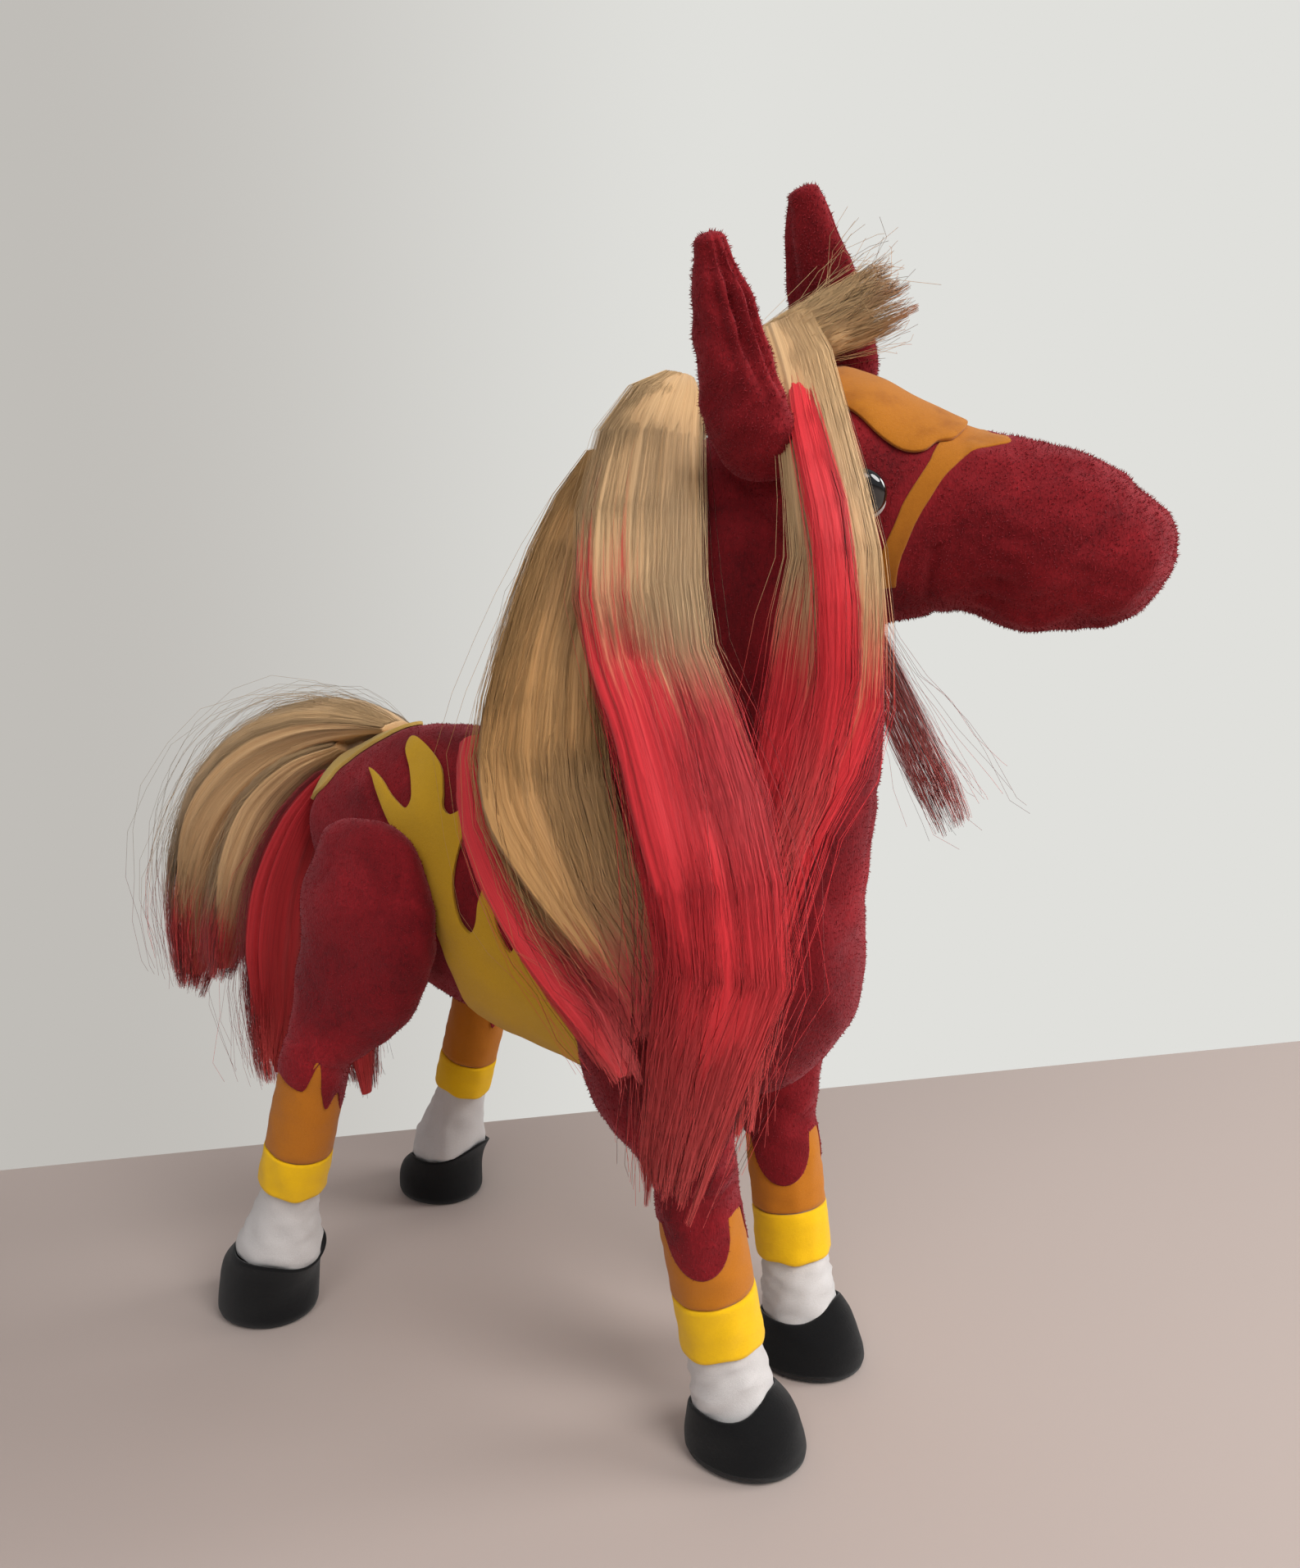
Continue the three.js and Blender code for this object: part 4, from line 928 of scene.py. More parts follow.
class Leg:
    """The lower leg's line and the radius of its cloth at each height."""

    def __init__(self, kind, side):
        self.kind, self.left = kind, SIDES[side]
        self.rows, self.pivot, self.bend, self.tall = leg_stations(kind, self.left)
        self.hoof = np.array([HOOF[kind][0], self.left * HOOF[kind][1], 0.0])
        self.sock_foot = SOCK_FOOT[kind]
        self.sock_top = self.bend[2] - SOCK_DROP
        self.name = f"{kind}_{side}"
        self.upper, self.lower = f"{self.name}_upper_leg", f"{self.name}_lower_leg"
        self.seed = hash_of(self.name)

    def bend_pad(self, piece):
        bend_between(piece, "trunk", self.upper, self.pivot + (0, 0, 9), self.pivot + (0, 0, -13))

    def bend_knee(self, piece):
        bend_between(piece, self.upper, self.lower, self.bend + (0, 0, 13), self.bend + (0, 0, -5))

    def plush_edge(self, angle):
        """Height of the plush's lower edge: lobes on the front legs, flames on the hind ones."""
        if self.kind == "front":
            lobes = sum(np.clip(1 - (away_from(angle, turn) / 0.86) ** 2, 0, 1) ** 0.5
                        for turn in (-1.19, 1.19))
            return self.sock_top + 1.5 + 0.8 * near(angle, 0, 0.2) - 14.0 * lobes
        flames = ((10.5, 0.76, 0.16), (-5.5, 0.3, 0.17), (-8.0, -0.37, 0.22), (5.0, -0.95, 0.22),
                  (1.5, 2.0, 0.5))
        edge = self.sock_top + 0.5
        for height, turn, width in flames:
            edge = edge + height * near(angle, turn, width)
        return edge

    def middle(self, z):
        share = (1 - np.asarray(z, float) / self.bend[2])[..., None]
        return self.bend + (self.hoof - self.bend) * share

    def radius(self, z):
        """Radius of the white tube."""
        z = np.asarray(z, float)
        share = (self.bend[2] - z) / (self.bend[2] - SHANK_FOOT)
        plain = SHANK_RADIUS * smooth(SHANK_SHARES, np.ravel(share)).reshape(np.shape(share))
        if self.kind == "front":
            return plain
        slim = 1 - 0.1 * np.clip((self.bend[2] + 8 - z) / 10, 0, 1)
        flare = 3.2 * np.clip((43 - z) / 20, 0, 1) ** 1.3
        return plain * slim + flare

    def plush_radius(self, z):
        """Radius of the plush over the sock: a gap, the sock, a second gap and the plush."""
        return self.radius(z) + (0.25 + FELT + 0.2) + 0.5

    def hoof_rim(self, turn):
        """Height of the hoof's edge round the leg."""
        toe, flank, heel = HOOF_RIM[self.name]
        return flank + (toe - flank) * near(turn, 0, 0.75) + (heel - flank) * near(turn, math.pi, 0.7)

    def rings(self, rows):
        """Closed rings from rows of heights and radii, one value for each angle."""
        heights, radii, angle = rows
        middle = self.middle(heights)
        ahead, out = radii * np.cos(angle), self.left * radii * np.sin(angle)
        rise = self.rise(ahead, out)
        return np.stack([middle[..., 0] + ahead, middle[..., 1] + out, heights + rise], -1)

    def rise(self, ahead, out):
        """How much higher a ring at right angles to the leg is, away from its middle."""
        lean = (self.hoof - self.bend) / self.bend[2]
        return lean[0] * ahead + lean[1] * out


def hash_of(name):
    """A seed that stays the same for a name."""
    return sum(ord(letter) * (i + 3) for i, letter in enumerate(name)) % 1000


def tube_lumps(angle, heights, radius, size, seed, tall=1.0):
    """Soft lumps for each point of a tube. Tall above 1 makes them lie flatter."""
    x, y = np.cos(angle) * radius + 0 * heights, np.sin(angle) * radius + 0 * heights
    spots = np.stack([x, y, heights], -1)
    return ripple(spots.reshape(-1, 3) * (1, 1, tall), size, seed).reshape(heights.shape)


def sleeve(leg, name, low, high, thickness, finish, rows, puff):
    """A tube of felt round the leg between two edges, each a height for every angle."""
    angle = round_turn(TUBE_SIDES)
    low, high = (np.broadcast_to(edge(angle) if callable(edge) else edge, TUBE_SIDES) for edge in (low, high))
    share = np.linspace(0, 1, rows)[:, None]
    heights = low + (high - low) * share
    inner = leg.radius(heights) + TUBE_GAP
    bulge = puff * np.sin(np.pi * share) * np.ones(TUBE_SIDES)
    uneven = 0.16 * tube_lumps(angle, heights, 10, 7, leg.seed + len(name))
    seam = -0.35 * near(angle, math.pi * 0.93, 0.06)
    outer = inner + thickness + bulge + uneven + seam
    lip = 0.3 * thickness
    foot, top = heights[:1], heights[-1:]
    profile = [
        (foot + 0.25, inner[:1]), (foot, inner[:1] + lip),
        (foot + 0.05, outer[:1] - lip), (foot + 0.35, outer[:1]),
        (heights[1:-1], outer[1:-1]),
        (top - 0.35, outer[-1:]), (top - 0.05, outer[-1:] - lip),
        (top, inner[-1:] + lip), (top - 0.25, inner[-1:]),
    ]
    levels, radii = (np.concatenate(column) for column in zip(*profile))
    rings = leg.rings((levels, radii, np.broadcast_to(angle, levels.shape)))
    faces = []
    for i in range(len(rings)):
        here, there = i * TUBE_SIDES, (i + 1) % len(rings) * TUBE_SIDES
        for k in range(TUBE_SIDES):
            n = (k + 1) % TUBE_SIDES
            faces.append([here + k, here + n, there + n, there + k])
    piece = face_out(mesh_piece(name, rings.reshape(-1, 3), faces))
    dress(piece, finish)
    return piece


def build_pad(leg):
    """The pad from the flank down to above the knee or hock."""
    shares = np.linspace(0, 0.88, 18)
    rows = smooth(leg.rows, shares)
    rows[:, 3:] -= np.clip((shares - 0.8) / 0.08, 0, 1)[:, None]
    points, faces = loft(rows, 56, 60, (0.14 * leg.tall, 3))
    pad = face_out(mesh_piece(f"{leg.name}_pad", points, faces))
    spots = spots_of(pad) / MM
    swell(pad, 0.5 * ripple(spots, 26, leg.seed) + 0.18 * ripple(spots, 8, leg.seed + 1))
    dress(pad, "plush")
    leg.bend_pad(pad)
    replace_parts(pad, f"{leg.name}_{PADS[leg.kind]['upper']}")
    return pad


def build_knee(leg):
    """The plush sleeve over the knee or hock, which ends in lobes over the sock."""
    angle = round_turn(96)
    edge = leg.plush_edge(angle)
    top = smooth(leg.rows, [0.78])[0, 2]
    share = np.linspace(0, 1, 40)[:, None]
    heights = top + (edge[None] - top) * share
    table = smooth(leg.rows, np.linspace(0, 1, 60))
    mid_x, mid_y, deep, wide = (np.interp(-heights, -table[:, 2], table[:, k]) for k in (0, 1, 3, 4))
    reach, span = (5, 8) if leg.kind == "front" else (12, 14)
    below = np.clip((leg.bend[2] + reach - heights) / span, 0, 1)
    snug = leg.plush_radius(heights)
    line = leg.middle(heights)
    tuck = 0.5 * np.clip(1 - share * 5, 0, 1)
    deep = deep * (1 - below) + snug * below - tuck
    wide = wide * (1 - below) + snug * below - tuck
    mid_x = mid_x * (1 - below) + line[..., 0] * below
    mid_y = mid_y * (1 - below) + line[..., 1] * below
    out_x, out_y = np.cos(angle), leg.left * np.sin(angle)
    rise = leg.rise(deep * out_x, wide * out_y) * below
    outer = np.stack([mid_x + deep * out_x, mid_y + wide * out_y, heights + rise], -1)
    lump = 0.35 * ripple(outer.reshape(-1, 3), 12, leg.seed + 5).reshape(heights.shape)
    lump = lump * np.sin(np.pi * share)
    outer[..., 0] += lump * out_x
    outer[..., 1] += lump * out_y
    lip = []
    for drop, inset in ((-0.1, 0.4), (0.25, 0.6), (2.0, 0.62), (6.0, 0.8)):
        z = edge + drop
        lip.append(leg.rings((z, leg.plush_radius(z) - inset, angle))[None])
    points, faces = closed_rings(np.concatenate([outer] + lip))
    joint = "knee" if leg.kind == "front" else "hock"
    knee = face_out(mesh_piece(f"{leg.name}_{joint}_sleeve", points, faces))
    dress(knee, "plush")
    leg.bend_knee(knee)
    if joint == "knee":
        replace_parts(knee, f"{leg.name}_knee_cuff")
    return knee


def build_stocking(leg):
    """The white felt tube, smooth under the sock and wrinkled below it, tucked in where the hoof holds it."""
    turn = round_turn(TUBE_SIDES)
    levels = np.linspace(leg.bend[2] - 2, 12, 34)[:, None] * np.ones(TUBE_SIDES)
    wrinkle = 0.42 * tube_lumps(turn, levels, 9, 7, leg.seed + 9, tall=1.9) - 0.5 * near(turn, 2.9, 0.05)
    bare = levels < leg.sock_foot - BAND_HEIGHT[leg.kind] + 1
    tilt = leg.rise(12 * np.cos(turn), leg.left * 12 * np.sin(turn))
    tuck = 0.5 if leg.kind == "front" else 4.6
    tuck = tuck * np.clip((leg.hoof_rim(turn) - 0.7 - levels - tilt) / 3, 0, 1)
    radii = leg.radius(levels) - tuck + wrinkle * bare
    rings = leg.rings((levels, radii, np.broadcast_to(turn, levels.shape)))
    stocking = face_out(mesh_piece(f"{leg.name}_stocking", *closed_rings(rings)))
    dress(stocking, "white")
    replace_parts(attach(stocking, leg.lower), f"{leg.name}_shank")


def build_sock_and_band(leg):
    """The orange sock and the yellow band under it."""
    band_top = leg.sock_foot - BAND_GAP

    def sock_edge(angle):
        return np.maximum(leg.plush_edge(angle) + 3, leg.sock_top - 2)

    def band_foot(angle):
        return band_top - BAND_HEIGHT[leg.kind] + 0.3 * np.sin(3 * angle + leg.seed) + 0.2 * np.sin(7 * angle)

    sock = sleeve(leg, f"{leg.name}_sock", leg.sock_foot, sock_edge, FELT, "orange",
                  rows=16, puff=0.3)
    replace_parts(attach(sock, leg.lower), f"{leg.name}_orange_sock")
    band = sleeve(leg, f"{leg.name}_band", band_foot, band_top, 1.15 * FELT, "yellow",
                  rows=12, puff=0.15)
    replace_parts(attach(band, leg.lower), f"{leg.name}_yellow_band")


def build_hoof(leg):
    """A felt bag with a flat sole, drawn in round the leg, its edge dipping on both sides of the toe."""
    turn = round_turn(96)
    half_deep, half_wide = HOOF_HALF[leg.kind]
    heel_cut = -3.0 if leg.kind == "front" else -1.6
    rim = leg.hoof_rim(turn)
    sole = (0, -5.0), (0, -3.2), (0.3, -1.6), (1.2, -0.5), (2.6, -0.05)
    rows = [(z + 0 * turn, inset) for z, inset in sole]
    rows += [(rim * share, 0.0) for share in np.linspace(0.16, 1, 20)]
    rows += [(rim + 0.2, -0.4), (rim + 0.1, -0.85), (rim - 1.5, -1.15), (rim - 5.0, -1.3)]
    rings = []
    for z, inset in rows:
        up = np.clip(z / rim, 0, 1)
        drawn_in = np.interp(up, [0, 0.3, 0.6, 0.8, 0.93, 1], [0, 0.13, 0.38, 0.62, 0.86, 1])
        snug = leg.radius(np.maximum(z, SHANK_FOOT)) + 1.45
        middle = leg.hoof + (leg.middle(z) - leg.hoof) * drawn_in[:, None]
        seam = 0.15 * near(turn, math.pi, 0.05)
        lumps = 0.4 * np.sin(3 * turn + leg.seed + 3 * up) * np.sin(up * 4) - seam
        heel = heel_cut * near(turn, math.pi, 1.0) * (1 - drawn_in) ** 2
        deep = half_deep + (snug - half_deep) * drawn_in + inset + lumps + heel
        wide = half_wide + (snug - half_wide) * drawn_in + inset + lumps
        x = middle[:, 0] + deep * np.cos(turn)
        y = middle[:, 1] + leg.left * wide * np.sin(turn)
        rings.append(np.stack([x, y, z], -1))
    hoof = face_out(mesh_piece(f"{leg.name}_hoof_bag", *closed_rings(np.array(rings))))
    dress(hoof, "black")
    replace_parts(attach(hoof, leg.lower), f"{leg.name}_hoof")


def build_leg(kind, side):
    leg = Leg(kind, side)
    pad, knee = build_pad(leg), build_knee(leg)
    build_stocking(leg)
    build_sock_and_band(leg)
    build_hoof(leg)
    return leg, pad, knee


legs = [build_leg(kind, side) for kind in PADS for side in SIDES]

# The body's skin stands for both bags.
bend_between(body_skin, "trunk", "neck", *NECK_BEND)
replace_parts(body_skin, "trunk", "neck")


# Dock of the tail

def build_dock():
    stations = [(-76, 0, 157.5, 8.4, 8.4), (-86, 0, 159.8, 8.0, 8.0), (-97, 0, 161.9, 7.2, 7.2)]
    piece = face_out(mesh_piece("tail_dock_skin", *loft(stations, 40, 24, (3, 7.2))))
    dress(piece, "plush")
    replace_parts(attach(piece, "tail"), "tail_dock")
    return piece


dock_skin = build_dock()


# Short pile that stands on the plush

def new_geometry_graph(name, inputs):
    """A tree that takes a mesh and the named inputs, and gives a mesh."""
    tree = bpy.data.node_groups.new(name, "GeometryNodeTree")
    tree.interface.new_socket("Geometry", in_out="INPUT", socket_type="NodeSocketGeometry")
    for label, kind in inputs:
        tree.interface.new_socket(label, in_out="INPUT", socket_type=f"NodeSocket{kind}")
    tree.interface.new_socket("Geometry", in_out="OUTPUT", socket_type="NodeSocketGeometry")
    graph = Graph(tree)
    return graph, graph.add("NodeGroupInput")


def named_attribute(graph, name, kind):
    return graph.add("GeometryNodeInputNamedAttribute", {"data_type": kind}, {"Name": name})["Attribute"]


def end_tree(graph, geometry, material):
    """Makes what was repeated real, with its material, and gives it out."""
    real = graph.add("GeometryNodeRealizeInstances", {}, {"Geometry": geometry})
    sockets = {"Geometry": real["Geometry"], "Material": material}
    done = graph.add("GeometryNodeSetMaterial", {}, sockets)
    graph.add("NodeGroupOutput", {}, {"Geometry": done["Geometry"]})


PILE_RADIUS = 0.00013  # metres, at the root


def pile_tree():
    """Short slim cones that stand on a skin, each leaning its own way."""
    inputs = [("Density", "Float"), ("Length", "Float"), ("Seed", "Int")]
    graph, given = new_geometry_graph("standing pile", inputs)
    density = given["Density"] * named_attribute(graph, "open", "FLOAT")
    spread = graph.add("GeometryNodeDistributePointsOnFaces", {"distribute_method": "RANDOM"},
                       {"Mesh": given["Geometry"], "Density": density, "Seed": given["Seed"]})
    fibre = graph.add("GeometryNodeMeshCone", {"fill_type": "NONE"},
                      {"Vertices": 3, "Radius Top": 0.0, "Radius Bottom": PILE_RADIUS,
                       "Depth": given["Length"]})
    tilt = graph.add("FunctionNodeRandomValue", {"data_type": "FLOAT_VECTOR"},
                     {0: (-0.7, -0.7, -3.0), 1: (0.7, 0.7, 3.0), "Seed": given["Seed"]})
    size = graph.add("FunctionNodeRandomValue", {"data_type": "FLOAT"},
                     {2: 0.45, 3: 1.25, "Seed": given["Seed"]})
    lean = graph.add("FunctionNodeRotateRotation", {"rotation_space": "LOCAL"},
                     {"Rotation": spread["Rotation"], "Rotate By": tilt[0]})
    rows = graph.add("GeometryNodeInstanceOnPoints", {},
                     {"Points": spread["Points"], "Instance": fibre["Mesh"], "Rotation": lean["Rotation"],
                      "Scale": size[1]})
    end_tree(graph, rows["Instances"], finishes["pile"])
    return graph.tree


def run_tree(piece, tree, values, name):
    """What a tree makes from the piece, as a plain mesh in a new object."""
    modifier = piece.modifiers.new("made", "NODES")
    modifier.node_group = tree
    for socket in tree.interface.items_tree:
        if socket.in_out == "INPUT" and socket.name in values:
            modifier[socket.identifier] = values[socket.name]
    piece.data.update()
    graph = bpy.context.evaluated_depsgraph_get()
    mesh = bpy.data.meshes.new_from_object(piece.evaluated_get(graph))
    piece.modifiers.remove(modifier)
    mesh.name = name
    return show(name, mesh)


standing_pile = pile_tree()


COVER_REACH = 1.7  # how near a cover keeps pile off, in millimetres


def grow_pile(piece, density, length, seed, covers=()):
    """Pile on a skin, so many hairs to a square centimetre, except where a cover lies on it."""
    spots = spots_of(piece)
    bare = np.zeros(len(spots), bool)
    for cover in covers:
        tree = surface_of(cover)
        low, high = spots_of(cover).min(0) - 3 * MM, spots_of(cover).max(0) + 3 * MM
        for i in np.nonzero(np.all((spots > low) & (spots < high), 1))[0]:
            bare[i] |= tree.find_nearest(Vector(spots[i]), COVER_REACH * MM)[0] is not None
    store(piece.data, "open", ~bare)
    made = run_tree(piece, standing_pile, {"Density": density * 1e4, "Length": length * MM, "Seed": seed},
                    f"{piece.name}_pile")
    return made


def covers_of(*names):
    return [bpy.data.objects[name] for name in names]


head_covers = covers_of("blaze_felt", "cheek_strap_felt", "eye_right_felt", "eye_left_felt")
body_covers = covers_of("belly_flames_felt", "rump_patch_felt")
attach(grow_pile(head_skin, 160.0, 0.8, 1, head_covers), "head")
for index, ear in enumerate(ears):
    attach(grow_pile(ear, 170.0, 0.8, 2 + index), "head")
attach(grow_pile(dock_skin, 90.0, 0.7, 5), "tail")
bend_between(grow_pile(body_skin, 80.0, 0.6, 6, body_covers), "trunk", "neck", *NECK_BEND)
for index, (leg, pad, knee) in enumerate(legs):
    leg.bend_pad(grow_pile(pad, 90.0, 0.6, 10 + index))
    leg.bend_knee(grow_pile(knee, 90.0, 0.5, 20 + index))


# Hair: strands gathered in clumps about a guide line, over a slim core that gives the lock its body

def strand_tree():
    """Strands about a guide line: each is in a clump, frays towards its tip and has its own length."""
    inputs = [("Strands", "Int"), ("Clumps", "Int"), ("Radius", "Float"), ("Wave", "Float"),
              ("Fray", "Float"), ("Trim", "Float"), ("Seed", "Int"), ("Finish", "Material")]
    graph, given = new_geometry_graph("combed strands", inputs)
    guide = graph.add("GeometryNodeMeshToCurve", {}, {"Mesh": given["Geometry"]})
    copies = graph.add("GeometryNodeDuplicateElements", {"domain": "SPLINE"},
                       {"Geometry": guide["Curve"], "Amount": given["Strands"]})
    strand = copies["Duplicate Index"]

    def chance(owner, salt, low=0.0, high=1.0):
        sockets = {2: low, 3: high, "ID": owner, "Seed": given["Seed"] + salt}
        return graph.add("FunctionNodeRandomValue", {"data_type": "FLOAT"}, sockets)[1]

    def grown(vector, factor):
        return graph.vector("SCALE", vector, scale=factor)

    along = named_attribute(graph, "along", "FLOAT")
    side = named_attribute(graph, "side", "FLOAT_VECTOR")
    lift = named_attribute(graph, "lift", "FLOAT_VECTOR")

    # Where a strand lies: its clump across the lock, its place in the clump, and on which face
    clump = graph.op("FLOOR", chance(strand, 1) * given["Clumps"])
    middle = (clump + 0.5) / given["Clumps"] * 2 - 1
    thick = graph.op("SQRT", 1.02 - middle * middle)
    face = graph.op("SIGN", chance(strand, 11) - 0.28)
    outward = (chance(clump, 101, -0.04, 0.06) + chance(strand, 4, 0.2, 0.58)) * thick * face
    gather = 1 - along * along * 0.35
    breadth = 1.5 / given["Clumps"] + 0.03
    apart = (chance(strand, 2, -1.0, 1.0) + chance(strand, 3, -1.0, 1.0)) * breadth * gather
    inwards = chance(strand, 12, -1.0, 0.2) * thick * face * along ** 3.0 * 0.7
    sway = chance(clump, 102, -0.16, 0.16) * along * along
    stray = chance(strand, 5) ** 14.0 * given["Fray"] * along
    across = middle * 0.9 + apart + sway + stray * chance(strand, 6, -1.6, 1.6)
    raised = outward + inwards + stray * chance(strand, 7, -1.0, 3.0)

    # A wave that grows towards the tip
    where = graph.add("GeometryNodeInputPosition")["Position"]
    spot = graph.point(chance(clump, 103) * 0.08 + chance(strand, 8) * 0.016)
    noise = {"Vector": graph.vector("ADD", where, spot), "Scale": 42.0, "Detail": 1.0}
    noise = graph.add("ShaderNodeTexNoise", {}, noise)["Color"]
    wobble = graph.vector("SUBTRACT", noise, (0.5, 0.5, 0.5))
    move = graph.vector("ADD", grown(side, across), grown(lift, raised))
    move = graph.vector("ADD", move, grown(wobble, given["Wave"] * along * (1 + stray * 6.0)))
    spread = graph.add("GeometryNodeSetPosition", {}, {"Geometry": copies["Geometry"], "Offset": move})
    shorter = (chance(clump, 104) * 0.6 + chance(strand, 9) ** 2.0 * 0.6) * given["Trim"]
    cut = graph.add("GeometryNodeTrimCurve", {"mode": "FACTOR"},
                    {"Curve": spread["Geometry"], "End": 1 - shorter})

    # What the finish reads
    round_side = grown(graph.vector("NORMALIZE", side), middle * 0.8)
    faced = grown(graph.vector("NORMALIZE", lift), face)
    out = graph.vector("NORMALIZE", graph.vector("ADD", faced, round_side))
    kept = [("strand", "FLOAT", chance(strand, 10)), ("clump", "FLOAT", chance(clump, 105)),
            ("across", "FLOAT", middle), ("loose", "FLOAT", 1.0), ("out", "FLOAT_VECTOR", out)]
    strands = cut["Curve"]
    for name, kind, value in kept:
        settings = {"data_type": kind, "domain": "POINT"}
        sockets = {"Geometry": strands, "Name": name, "Value": value}
        strands = graph.add("GeometryNodeStoreNamedAttribute", settings, sockets)["Geometry"]

    thin = graph.add("GeometryNodeSetCurveRadius", {}, {"Curve": strands, "Radius": 1 - along ** 6.0 * 0.7})
    section = graph.add("GeometryNodeCurvePrimitiveCircle", {"mode": "RADIUS"},
                        {"Resolution": 3, "Radius": given["Radius"]})
    tubes = graph.add("GeometryNodeCurveToMesh", {},
                      {"Curve": thin["Curve"], "Profile Curve": section["Curve"]})
    end_tree(graph, tubes["Mesh"], given["Finish"])
    return graph.tree


combed_strands = strand_tree()


CORE_SIDES, CORE_ROWS, CORE_CLUMPS = 96, 34, 15
GROOVES = (5, 9, 14, 23, 31)  # round a core, one set over the other


def lock_core(name, rows, facing, finish, until):
    """The slim grooved body of a lock, which thins out towards the tips."""
    rng = np.random.default_rng(hash_of(name))
    grooves = [(n, rng.uniform(0, 6.28), rng.uniform(0.012, 0.03)) for n in GROOVES]
    t = np.linspace(0, until, CORE_ROWS)
    table = smooth(rows, t)
    fade = 1 - 0.6 * np.clip((t / until - 0.6) / 0.4, 0, 1) ** 1.5
    stations = np.stack([*table[:, :3].T, table[:, 4] * 0.27 * fade, table[:, 3] * 0.45 * fade], 1)
    width = np.cross(facing, (0, 0, 1)) if abs(facing[2]) < 0.5 else np.array((0.0, 1.0, 0.0))

    def ribs(angle, share):
        return 1 + sum(depth * np.sin(n * angle + turn + 2 * share) for n, turn, depth in grooves)

    points, faces = loft(stations, CORE_SIDES, CORE_ROWS, (0.5, 0.5), ribs, guide=width)
    core = mesh_piece(name + "_core", points, faces)
    rings = (len(points) - 2) // CORE_SIDES
    turn = np.tile(np.arange(CORE_SIDES) / CORE_SIDES, rings)
    across = np.cos(2 * np.pi * turn)
    clumps = np.interp(across, np.linspace(-1, 1, CORE_CLUMPS), rng.uniform(0, 1, CORE_CLUMPS))
    # The finish reads these as it reads a strand's. The last two points are the middles of the ends.
    store(core.data, "along", np.append(np.repeat(np.linspace(0, until, rings), CORE_SIDES), (0, until)))
    store(core.data, "strand", np.append(turn * 0.9, (0.5, 0.5)))
    store(core.data, "clump", np.append(clumps, (0.5, 0.5)))
    store(core.data, "across", np.append(across, (0, 0)))
    core.data.materials.append(finishes[finish])
    soften(core)
    return core


STRAND_RADIUS = 0.048  # millimetres


def comb(name, rows, strands, finish, facing=(0.3, -1, 0), clumps=14, wave=4.0, fray=1.0, trim=0.16,
         steps=13, core=0.93, body=None, nodes=()):
    """A lock along rows of x, y, z, breadth and thickness. Core is the share of it that has a core."""
    t = np.linspace(0, 1, steps)
    table = smooth(rows, t)
    line = table[:, :3]
    tangent = unit(np.gradient(line, axis=0))
    facing = np.array(facing, float)
    out = unit(facing - tangent * (tangent @ facing)[:, None])
    side = np.cross(tangent, out)
    mesh = bpy.data.meshes.new(name)
    mesh.from_pydata(place(line).tolist(), [(i, i + 1) for i in range(steps - 1)], [])
    for label, vectors in (("side", side * table[:, 3:4] / 2 * MM), ("lift", out * table[:, 4:5] / 2 * MM)):
        spots = vectors.astype(np.float32).ravel()
        mesh.attributes.new(label, "FLOAT_VECTOR", "POINT").data.foreach_set("vector", spots)
    store(mesh, "along", t)
    guide = show(name + "_guide", mesh)
    values = {"Strands": strands, "Clumps": clumps, "Radius": STRAND_RADIUS * MM, "Wave": wave * MM,
              "Fray": fray, "Trim": trim, "Seed": hash_of(name), "Finish": finishes[finish]}
    lock = run_tree(guide, combed_strands, values, name)
    bpy.data.objects.remove(guide)
    soften(lock)
    pieces = [lock]
    if core:
        pieces.append(lock_core(name, rows, facing, finish, core))
    for piece in pieces:
        if body:
            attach(piece, body)
    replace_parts(lock, *nodes)
    return pieces


# Locks, each from its root to its tips: x, y, z, breadth and thickness

FORELOCK = [
    (80, -8, 290, 13, 8), (88, -17, 279, 15, 8), (94.5, -24, 265, 15, 8), (99.5, -28, 250, 17, 8),
    (103, -30, 236, 19, 8), (103, -31, 221, 23, 8), (102, -32, 204, 25, 8), (100, -35, 190, 22, 8),
    (97, -39, 176, 17, 8), (94, -43, 159, 13, 8), (92, -46, 140, 11, 7), (90, -46, 121, 10, 6),
    (88, -46, 100, 8, 5),
]
STREAK = [
    (83, -11, 288, 3, 2), (86, -16, 281, 4, 3), (92, -25, 269, 6, 4), (98, -31.5, 256, 7, 4),
    (103, -35, 243, 8, 5), (106, -37, 228, 8.5, 5), (107, -37, 210, 9, 5), (105, -38, 193, 8, 5),
    (100, -42, 176, 7, 4), (95, -47, 158, 5, 3),
]
MANE_LONG = [
    (51, -7, 281, 9, 6), (51, -13, 276, 19, 10), (51, -21, 267, 26, 10), (52, -28, 251, 31, 9),
    (54, -33, 234, 33, 9), (58, -37, 216, 31, 9), (66, -41, 202, 30, 9), (74, -45, 187, 32, 9),
    (81, -50, 172, 32, 9), (86, -53, 156, 31, 9), (88, -55, 138, 29, 9), (82, -55, 118, 24, 8),
    (77, -54, 97, 18, 7), (72, -52, 76, 11, 5),
]
MANE_MIDDLE = [
    (32, -9, 262, 14, 10), (31, -22, 245, 21, 10), (31, -30, 228, 26, 9), (30, -36, 212, 29, 9),
    (30, -40, 196, 34, 9), (32, -43, 180, 36, 9), (42, -47, 165, 33, 9), (53, -51, 151, 27, 8),
    (63, -53, 137, 19, 7), (69, -54, 121, 11, 5),
]
MANE_LOW = [
    (-4, -24, 187, 8, 7), (2, -32, 177, 11, 7), (13, -41, 163, 13, 7), (28, -47, 149, 15, 7),
    (43, -51, 135, 14, 6), (56, -54, 123, 12, 5), (67, -56, 111, 8, 4),
]
MANE_FAR = [
    (78, 14, 262, 8, 6), (86, 20, 232, 10, 6), (94, 30, 206, 13, 7), (101, 36, 188, 15, 7),
    (108, 39, 173, 16, 7), (113, 41, 160, 14, 6),
]
